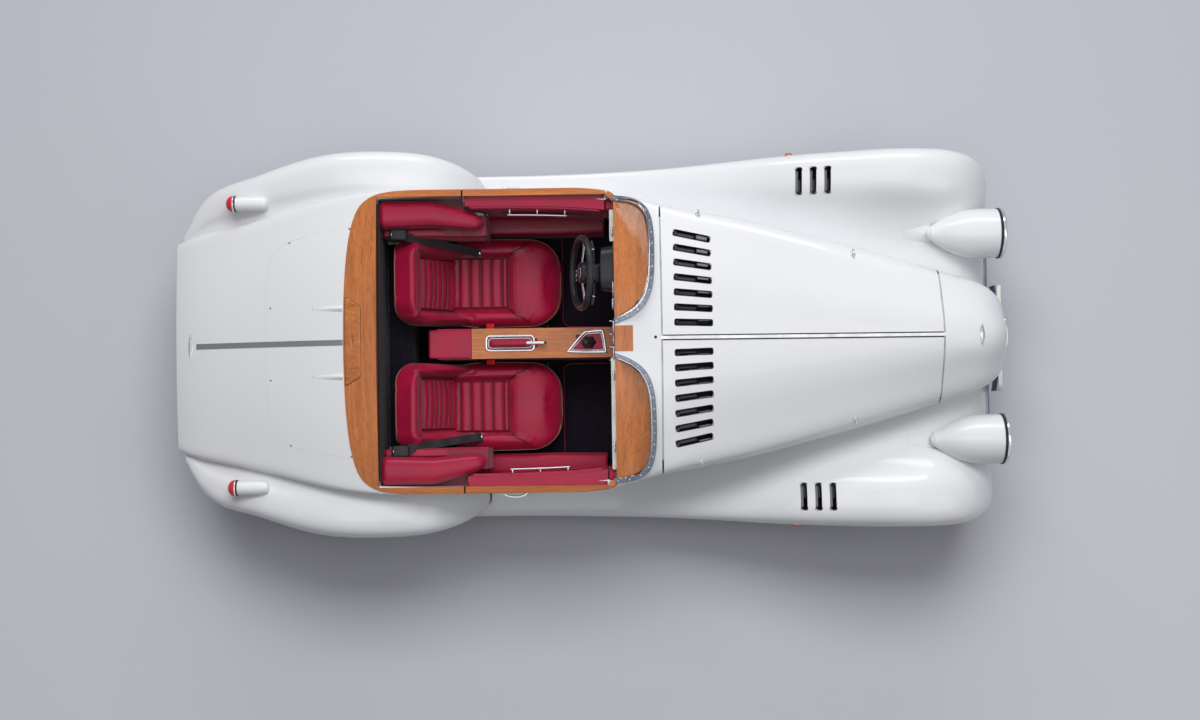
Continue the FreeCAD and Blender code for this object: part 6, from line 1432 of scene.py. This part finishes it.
class ROADSTER_OT_seams(bpy.types.Operator):
    """Gap strips and seam lines of painted shade, hinge strip edges as painted reflections, wing beading,
    fairings and timber flap
    """

    bl_idname = "roadster.seams"
    bl_label = "Seams"

    def execute(self, context):
        seals = []
        for x, reach, panel in ((314.0, 560.0, "scuttle"), (1610.0, 285.0, "nose_cowl")):
            ys = np.linspace(-reach, reach, 160)
            ys = ys[np.abs(ys) > 9]
            nodes = [panel, "bonnet_left", "bonnet_right"]
            rear, front = [laid_on(nodes, x + step, ys)[0] for step in (-5.5, 5.5)]
            seals.append(sweep((rear + front) / 2 - 2.6 * Z, ring(4.1, 12, 0.4, 4.0)))
        piece("panel_seals", joined(*seals), "seal")
        # The hinge strip's dark side lines: painted dark reflections of its rounded sides.
        edge, normal = laid_on(["bonnet_left"], np.linspace(319, 1605, 200), 10.4)
        strip = sweep(edge + normal * 0.2, ring(2.7, 10, 0.5), up=normal)
        pair("hinge_dark_reflection", strip, "plastic", body="bonnet_half_")
        beads = []
        for x0, x1, wing, inner, y0, y1 in (
            (345.0, 1590.0, ["front_wing_left"], ["bonnet_left", "engine_bay_sides"], 180, 700),
            (-1900.0, -860.0, ["rear_wing_left"], ["body_tub"], 500, 702),
        ):
            x = np.linspace(x0, x1, 120)
            line = laid_on(wing + inner, x, meeting(x, inner, wing, np.arange(y0, y1, 1.0)))[0]
            line[:, 2] = np.convolve(np.pad(line[:, 2], 3, mode="edge"), np.ones(7) / 7, mode="valid")
            beads.append(sweep(line + 0.6 * Z, ring(2.8, 10)))
        piece("wing_beading", both(*beads), "paint")
        # Deck seam: a grey line of painted shade in a wide bow, square at the rear, whose ends run forwards.
        shares = np.array([(0.0, 0.0), (0.0, 0.45), (0.01, 0.75), (0.12, 0.93), (0.45, 0.985), (1.0, 1.06)])
        left = np.column_stack([-1519 + 372 * shares[:, 0], 500 * shares[:, 1], np.zeros(len(shares))])
        path = spline(np.concatenate([left[:0:-1] * (1, -1, 1), left]), 260)[6:-6]
        path, normal = landed(path, SHELL)
        piece("deck_seam", sweep(path + normal * 0.5, ring(1.9, 8, 0.5), up=normal), "seam")
        self.flap()
        bumps = [ridge(SHELL, -1149.0, -1292.0, y, 15.0, 9.0) for y in (-157.0, 157.0)]
        tails = both(ridge(["front_wing_left"], 1600.0, 1478.0, 486.0, 42.0, 16.0))
        piece("fairings", joined(*bumps, tails), "paint")
        return {"FINISHED"}

    def flap(self):
        """The flap in the rear timber, grown in rings from its middle, and a dark line of painted shadow in
        the joint round it.
        """
        corners = [
            (-1141, 197), (-1098, 186), (-1070, 168), (-1063, 148), (-1063, 60), (-1063, -52),
            (-1063, -140), (-1070, -160), (-1098, -178), (-1141, -189), (-1142, -60), (-1142, 60),
        ]
        count, timber = 160, ["cockpit_timber"]
        outline = curve([(x, y, 0) for x, y in corners], count, closed=True)
        outline[:, 0] = np.maximum(outline[:, 0], -1137.0)
        middle = outline.mean(0)
        rings = ((0.02, 0.7), (0.25, 0.7), (0.5, 0.7), (0.75, 0.7), (0.96, 0.7), (1.0, 0.2))
        spots = [landed(middle + (outline - middle) * share, timber) for share, lift in rings]
        top = np.array([spot + normal * lift for (spot, normal), (share, lift) in zip(spots, rings)])
        under = np.array([spot - normal for spot, normal in spots])[::-1]
        piece("deck_flap", net(np.concatenate([top, under]), wrap=True, closed=True), "teak_x")
        line, normal = landed(middle + (outline - middle) * 1.006, timber)
        crack = sweep(line + normal * 0.3, ring(1.1, 6, 0.6), up=normal, closed=True)
        piece("flap_gap_shadow", crack, "shadow")


class ROADSTER_OT_brightwork(bpy.types.Operator):
    """Latches, rear strip, plain badges, screws, washer jets, rivets, door handles, exhaust sleeves"""

    bl_idname = "roadster.brightwork"
    bl_label = "Brightwork"

    def execute(self, context):
        line, normal = laid_on(SHELL, np.linspace(-1148, -1879, 90), 0)
        piece("tail_strip", sweep(line + normal * 0.6, ring(13.0, 28, 0.13, 6.0), up=normal), "grey")
        badges = []
        for x, nodes, long in ((-1912.0, ["body_tub"], 64.0), (1789.0, ["nose_cowl"], 56.0)):
            # Plain leaf: its width falls as the cosine of the run, its crown is an arch across it.
            u, v = patch((-1, 1, 40), (-1, 1, 13))
            wide = 12.0 * np.cos(u * np.pi / 2) ** 0.9 + 0.3
            crown = 6.0 * (1 - np.abs(v)) * (1 - 0.8 * u**2) + 0.6
            badges.append(blister(nodes, x + wide * v, long * u, crown, 1.0))
        piece("plain_badges", joined(*badges), "brushed")
        # Countersunk raised heads with a recess sunk in their middle.
        head = [(1.75, 0.4), (2.25, 1.3), (4, 1.0), (5, 0.1), (5, -1)]
        screws = self.dots(head, SHELL, [(-1408.0, 471.0), (-1500.0, 168.0), (-1116.0, 525.0)], 18)
        piece("deck_screws", both(*screws), "steel")
        jet = [(3.0, 4.5), (5.5, 3.0), (7.0, 0.2), (7.0, -1)]
        jets = self.dots(jet, ["scuttle"], [(285.0, 3.0), (262.0, 556.0), (262.0, -556.0)], 20)
        piece("washer_jets", joined(*jets), "plastic")
        pipe = [(29.4, 20), (29.4, 66), (31.5, 68), (34, 66), (34.5, 20)]
        piece("exhaust_sleeves", both(turned(pipe, (-1836, 208, 160), -X, 48, loop=True)), "chrome")
        self.screens()
        parts = []
        for at, out in zip(*laid_on(["bonnet_left"], (492.0, 1208.0), (572.0, 380.0))):
            parts.append(turned([(9, 3), (13, 1.4), (13.5, -1)], at, out, 28))
            parts.append(turned([(5, 13.4), (5.6, 10), (4.2, 3)], at, out, 20))
            across = np.cross(out, X)
            grip = [at + out * 13 - across * 20, at + out * 15, at + out * 13 + across * 20]
            parts.append(sweep(curve(grip, 16), ring(4.4, 12, 0.7), up=out))
        pair("bonnet_latches", joined(*parts), "chrome", body="bonnet_half_")
        xs = np.linspace(-424, -318, 30)
        flat = np.column_stack([xs, np.zeros(30), np.full(30, 742.0)])
        skin, out = landed(flat, ["door_left"], axis=1)
        stand = 24 * np.sin(np.pi * np.linspace(0, 1, 30)) ** 0.35
        handle = sweep(skin + out * stand[:, None], ring(6.0, 16, 0.75))
        feet = [turned([(9, 2.6), (12, 0.2), (12, -1)], skin[k], out[k], 28) for k in (0, -1)]
        lock = [(3, 1.4), (3.4, 3), (8, 2.8), (10, 0.2), (10, -1)]
        lock = turned(lock, skin[2] - 38 * Z, out[2], 24)
        pair("door_handle", joined(handle, *feet, lock), "chrome", body="door_unit_")
        return {"FINISHED"}

    def dots(self, profile, nodes, places, count):
        """The same small turned part at each place on a panel."""
        spots = zip(*laid_on(nodes, *np.transpose(places)))
        return [turned(profile, at, out, count) for at, out in spots]

    def screens(self):
        """Rivets along the screens' bands and the bright bead inside them."""
        shares = np.array([
            (-0.04, 1.0), (0.30, 1.0), (0.86, 0.93), (1.05, 0.52), (1.03, -0.10), (0.98, -0.62),
            (0.55, -0.90), (0.0, -1.0),
        ])
        lines = []
        for inset, start in ((10.0, 106.0), (21.5, 110.0)):
            x, y = (shares * (180 - inset, 296 - inset) + (100, 364)).T
            path = spline(np.column_stack([x, y, np.zeros(len(x))]), 300)
            lines.append(path[path[:, 0] > start])
        head, places = [(2.2, 1.8), (3.6, 0.3), (3.6, -1)], even(lines[0], 15)[:, :2]
        rivets = self.dots(head, ["screen_frames"], places, 12)
        piece("screen_rivets", both(*rivets), "chrome")
        line = landed(lines[1], ["screen_frames", "dash_timber", "scuttle"])[0]
        piece("screen_beads", both(sweep(line + 1.2 * Z, ring(2.0, 10))), "chrome")


class ROADSTER_OT_lamps(bpy.types.Operator):
    """Reflectors, bulbs and rims of the headlamps, tail lamp domes and amber repeaters"""

    bl_idname = "roadster.lamps"
    bl_label = "Lamps"

    def execute(self, context):
        rim, head, tail = 1918.0, (0, 486.0, 668.0), (0, 668, 716)

        def lamp(name, profile, place, finish, count, loop=False, gone=()):
            piece(name, both(turned(profile, place, X, count, loop)), finish, gone)

        # Bowl: depth grows with the square of the radius.
        r = np.linspace(0, 100, 26)
        bowl = np.column_stack([r, rim - 54 + 46 * (r / 100) ** 2])
        reflector = turned(np.concatenate([bowl, bowl[::-1] - (0, 1.6)]), head, X, 64)
        shield = turned([(16, rim - 9), (19, rim - 13), (17, rim - 13)], head, X, 32)
        piece("headlamp_reflectors", both(reflector, shield), "chrome")
        bulb = [(13, rim - 56), (13, rim - 46), (8, rim - 44), (8, rim - 24), (5, rim - 17)]
        lamp("headlamp_bulbs", bulb, head, "lens", 28)
        gasket = [(112, rim - 5), (119.4, rim - 5), (120.0, rim + 5), (112, rim + 5)]
        lamp("headlamp_gaskets", gasket, head, "plastic", 72, True)
        bulge = np.linspace(-1.1, 1.5, 12)
        crown = np.column_stack([110.5 + 9.5 * np.cos(bulge), rim + 14 + 10.5 * np.sin(bulge)])
        crown = [(104, rim + 5), *crown, (104, rim + 23), (102.6, rim + 18)]
        lamp("headlamp_rims", crown, head, "chrome", 72, True, ["headlamp_bezels"])
        joint = [(30, -1673), (37.5, -1673), (38.5, -1679), (30, -1681)]
        lamp("tail_lamp_joints", joint, tail, "plastic", 48, True)
        band = [(33, -1679), (40, -1679.5), (41, -1683), (39.5, -1687), (33, -1688)]
        lamp("tail_lamp_rings", band, tail, "chrome", 48, True)
        # Dome: a quarter of an ellipse turned about the lamp's axis.
        t = np.linspace(0, np.pi / 2, 18)[:-1]
        dome = [(30, -1680), *np.column_stack([38.6 * np.cos(t), -1687 - 33 * np.sin(t)])]
        lamp("tail_lamp_domes", dome, tail, "red_glass", 56, False, ["tail_lamp_lenses"])
        skin, out = landed(np.array([[945.0, 0, 600.0]]), ["front_wing_left"], axis=1)
        lens = turned([(10, 12), (16, 8), (18.5, 1), (18.5, -1)], skin[0], out[0], 32)
        base = turned([(17.5, 3), (21, 2.5), (23, -0.5), (17.5, -1)], skin[0], out[0], 36, loop=True)
        piece("repeater_lenses", both(lens), "amber")
        piece("repeater_rims", both(base), "chrome")
        edge = sweep([(1979.0, y, 427.2) for y in np.linspace(-258, 258, 12)], ring(9.5, 20, 0.16, 5.0))
        piece("plate_edge", edge, "white", slot="paint")
        return {"FINISHED"}


class ROADSTER_OT_tyres(bpy.types.Operator):
    """Treaded tyres with ribbed walls, and the wheels' nuts, caps and valves"""

    bl_idname = "roadster.tyres"
    bl_label = "Tyres"

    def execute(self, context):
        wheels = context.scene.roadster_wheels
        track, hub = 765.0, 332
        # Profile of (radius, across): bead, bowed wall, round shoulder, gently crowned tread.
        wall = [
            (235, 107.5), (244, 110.5), (262, 114.5), (286, 116.8), (306, 115.4), (319, 109.5), (326.5, 99.5),
        ]
        side = even(np.column_stack([wall, np.zeros(len(wall))]), 22)[:, :2]
        across = np.linspace(98, -98, 62)
        crown = np.column_stack([331.0 - 3.6 * (across / 98) ** 2, across])
        inside = [(235, -107.5), (236, -60), (236, 0), (236, 60)]
        r, y = np.concatenate([side, crown, side[::-1] * (1, -1), inside]).T
        tread = smoothed(108 - np.abs(y), 0, 8) * (r > 318)
        turn = np.arange(wheels.blocks * 6) * 2 * np.pi / (wheels.blocks * 6)
        channels = sum(bell(y - at, 4.6) ** 0.8 for at in (-62.0, -22.0, 22.0, 62.0))
        # Cross cuts: waves round the tyre, raked outwards on the shoulders, fine in the middle.
        phase = turn[:, None] * wheels.blocks + 0.035 * np.abs(y)
        sipes = np.clip(1.4 * np.cos(phase) - 0.65, 0, 1) * (np.abs(y) > 26)
        sipes = sipes + 0.6 * np.clip(1.4 * np.cos(phase + 2.2) - 0.8, 0, 1) * (np.abs(y) <= 20)
        ribs = 0.9 * (np.cos((r - 250) * 0.55) > 0.55) * (r < 300) * (r > 250)
        radius = r - wheels.groove * np.clip(channels + sipes, 0, 1) * tread
        flat = np.broadcast_to(track + y + ribs * np.sign(y), radius.shape)
        for end, x in (("front", 1500.0), ("rear", -1020.0)):
            around = x + radius * np.sin(turn)[:, None]
            points = np.dstack([around, flat, hub + radius * np.cos(turn)[:, None]])
            parts = []
            for a in 2 * np.pi * np.arange(5) / 5 + 0.3:
                at = (x + 34 * math.sin(a), 845, hub + 34 * math.cos(a))
                parts.append(turned([(6.5, 13), (8.5, 10), (8.5, 0), (11, -1), (11, -4)], at, Y, 6))
            parts.append(turned([(12, 14), (19, 9), (21, 2), (21, -4)], (x, 846, hub), Y, 40))
            valve = [(x + 205, 842, hub), (x + 203, 852, hub), (x + 200, 864, hub)]
            parts.append(sweep(valve, ring(3.0, 10)))
            wheel = f"wheel_{end}_"
            pair(f"tread_{end}", net(points, wrap=True, closed=True), "tyre", [f"tyre_{end}_"], wheel)
            pair(f"nuts_{end}", joined(*parts), "chrome", body=wheel)
        return {"FINISHED"}


# The camera and the studio.
LENS_MM = 50.0
CAMERA_PLACE = (0.031, -0.33, 8.54)
CAMERA_TARGET = (0.031, -0.0975, 0.95)
CAMERA_ROLL_DEG = 0.78
FLOOR_HALF = 30.0
# Each lamp's place, aim, size and watts. Polished parts don't mirror the key lamp.
LAMPS = {
    "key": ((0.3, 5.9, 10.8), (0.1, 0.0, 0.4), (9.0, 5.0), 1000),
    "side": ((0.3, 9.6, 5.6), (0.1, 0.0, 0.6), (10.0, 2.6), 330),
    "top": ((0.0, -0.2, 9.6), (0.0, 0.0, 0.5), (9.0, 4.6), 130),
    "front": ((7.0, -2.0, 7.5), (1.0, 0.0, 0.5), (5.0, 5.0), 80),
}


class ROADSTER_OT_studio(bpy.types.Operator):
    """Camera above the car, pale floor and soft studio light"""

    bl_idname = "roadster.studio"
    bl_label = "Studio"

    def execute(self, context):
        scene = context.scene
        scene.view_settings.view_transform = "Standard"
        eye, aim = Vector(CAMERA_PLACE), Vector(CAMERA_TARGET)
        roll = math.radians(CAMERA_ROLL_DEG)
        back = (eye - aim).normalized()
        right = Vector((math.sin(roll), math.cos(roll), 0)).cross(back).normalized()
        data = bpy.data.cameras.new("camera")
        data.lens = LENS_MM
        data.sensor_width = 36.0
        data.clip_end = 100.0
        camera = bpy.data.objects.new("camera", data)
        turn = Matrix((right, back.cross(right), back)).transposed().to_4x4()
        camera.matrix_world = Matrix.Translation(eye) @ turn
        scene.collection.objects.link(camera)
        scene.camera = camera
        world = bpy.data.worlds.new("studio")
        world.use_nodes = True
        scene.world = world
        # Metal, gloss and the camera see a white room; what lights the car from it is dimmer.
        tree = world.node_tree
        ray = add(tree, "LightPath").outputs
        seen = {0: ray["Is Camera Ray"], 1: ray["Is Glossy Ray"]}
        level = {"Value": add(tree, "Math", seen, operation="MAXIMUM"), "To Min": 0.12, "To Max": 0.80}
        sky = tree.nodes["Background"]
        sky.inputs["Color"].default_value = srgb("#E6E7EB")
        tree.links.new(add(tree, "MapRange", level).outputs[0], sky.inputs["Strength"])
        mesh = bpy.data.meshes.new("floor")
        corners = [(x * FLOOR_HALF, y * FLOOR_HALF, 0) for x, y in ((-1, -1), (1, -1), (1, 1), (-1, 1))]
        mesh.from_pydata(corners, [], [(0, 1, 2, 3)])
        floor = bpy.data.objects.new("floor", mesh)
        scene.collection.objects.link(floor)
        # The painted floor is paler on the side away from the key lamp, which evens its tone.
        material, tree, place = started("studio_floor_painted")
        split = add(tree, "SeparateXYZ", {"Vector": place})
        across = add(tree, "MapRange", {"Value": split.outputs["Y"], "From Min": -2, "From Max": 2})
        stops = [(0.0, srgb("#D3D4DC")), (0.5, srgb("#C6C7CF")), (1.0, srgb("#BABBC4"))]
        tint = add(tree, "ValToRGB", {"Fac": across}, stops)
        shader = add(tree, "BsdfPrincipled", {
            "Base Color": tint, "Roughness": 0.8,
        })
        mesh.materials.append(closed(material, tree, shader))
        for name, (place, aim, size, watts) in LAMPS.items():
            data = bpy.data.lights.new(name, "AREA")
            data.shape = "RECTANGLE"
            data.size, data.size_y = size
            data.energy = watts
            lamp = bpy.data.objects.new(name, data)
            away = (Vector(place) - Vector(aim)).normalized()
            lamp.matrix_world = Matrix.Translation(place) @ away.to_track_quat("Z", "Y").to_matrix().to_4x4()
            lamp.visible_glossy = name != "key"
            scene.collection.objects.link(lamp)
        return {"FINISHED"}


OPERATORS = (
    ROADSTER_OT_studio,
    ROADSTER_OT_finishes,
    ROADSTER_OT_seats,
    ROADSTER_OT_quarter_trims,
    ROADSTER_OT_carpets,
    ROADSTER_OT_console,
    ROADSTER_OT_steering,
    ROADSTER_OT_door_trims,
    ROADSTER_OT_dashboard,
    ROADSTER_OT_belts,
    ROADSTER_OT_louvres,
    ROADSTER_OT_seams,
    ROADSTER_OT_brightwork,
    ROADSTER_OT_lamps,
    ROADSTER_OT_tyres,
)
GROUPS = {
    "roadster_colours": RoadsterColours, "roadster_seats": RoadsterSeats, "roadster_wheels": RoadsterWheels
}


class ROADSTER_PT_dressing(bpy.types.Panel):
    """The roadster's operators, in the order that main runs them"""

    bl_idname = "ROADSTER_PT_dressing"
    bl_label = "Roadster"
    bl_space_type = "VIEW_3D"
    bl_region_type = "UI"
    bl_category = "Roadster"

    def draw(self, context):
        column = self.layout.column()
        for operator in OPERATORS:
            column.operator(operator.bl_idname)


def register():
    for made in (*GROUPS.values(), *OPERATORS, ROADSTER_PT_dressing):
        bpy.utils.register_class(made)
    for name, group in GROUPS.items():
        setattr(bpy.types.Scene, name, PointerProperty(type=group))


def unregister():
    for name in GROUPS:
        delattr(bpy.types.Scene, name)
    for made in reversed((*GROUPS.values(), *OPERATORS, ROADSTER_PT_dressing)):
        bpy.utils.unregister_class(made)


def main():
    register()
    for operator in OPERATORS:
        family, name = operator.bl_idname.split(".")
        getattr(getattr(bpy.ops, family), name)()


if __name__ == "__main__":
    main()
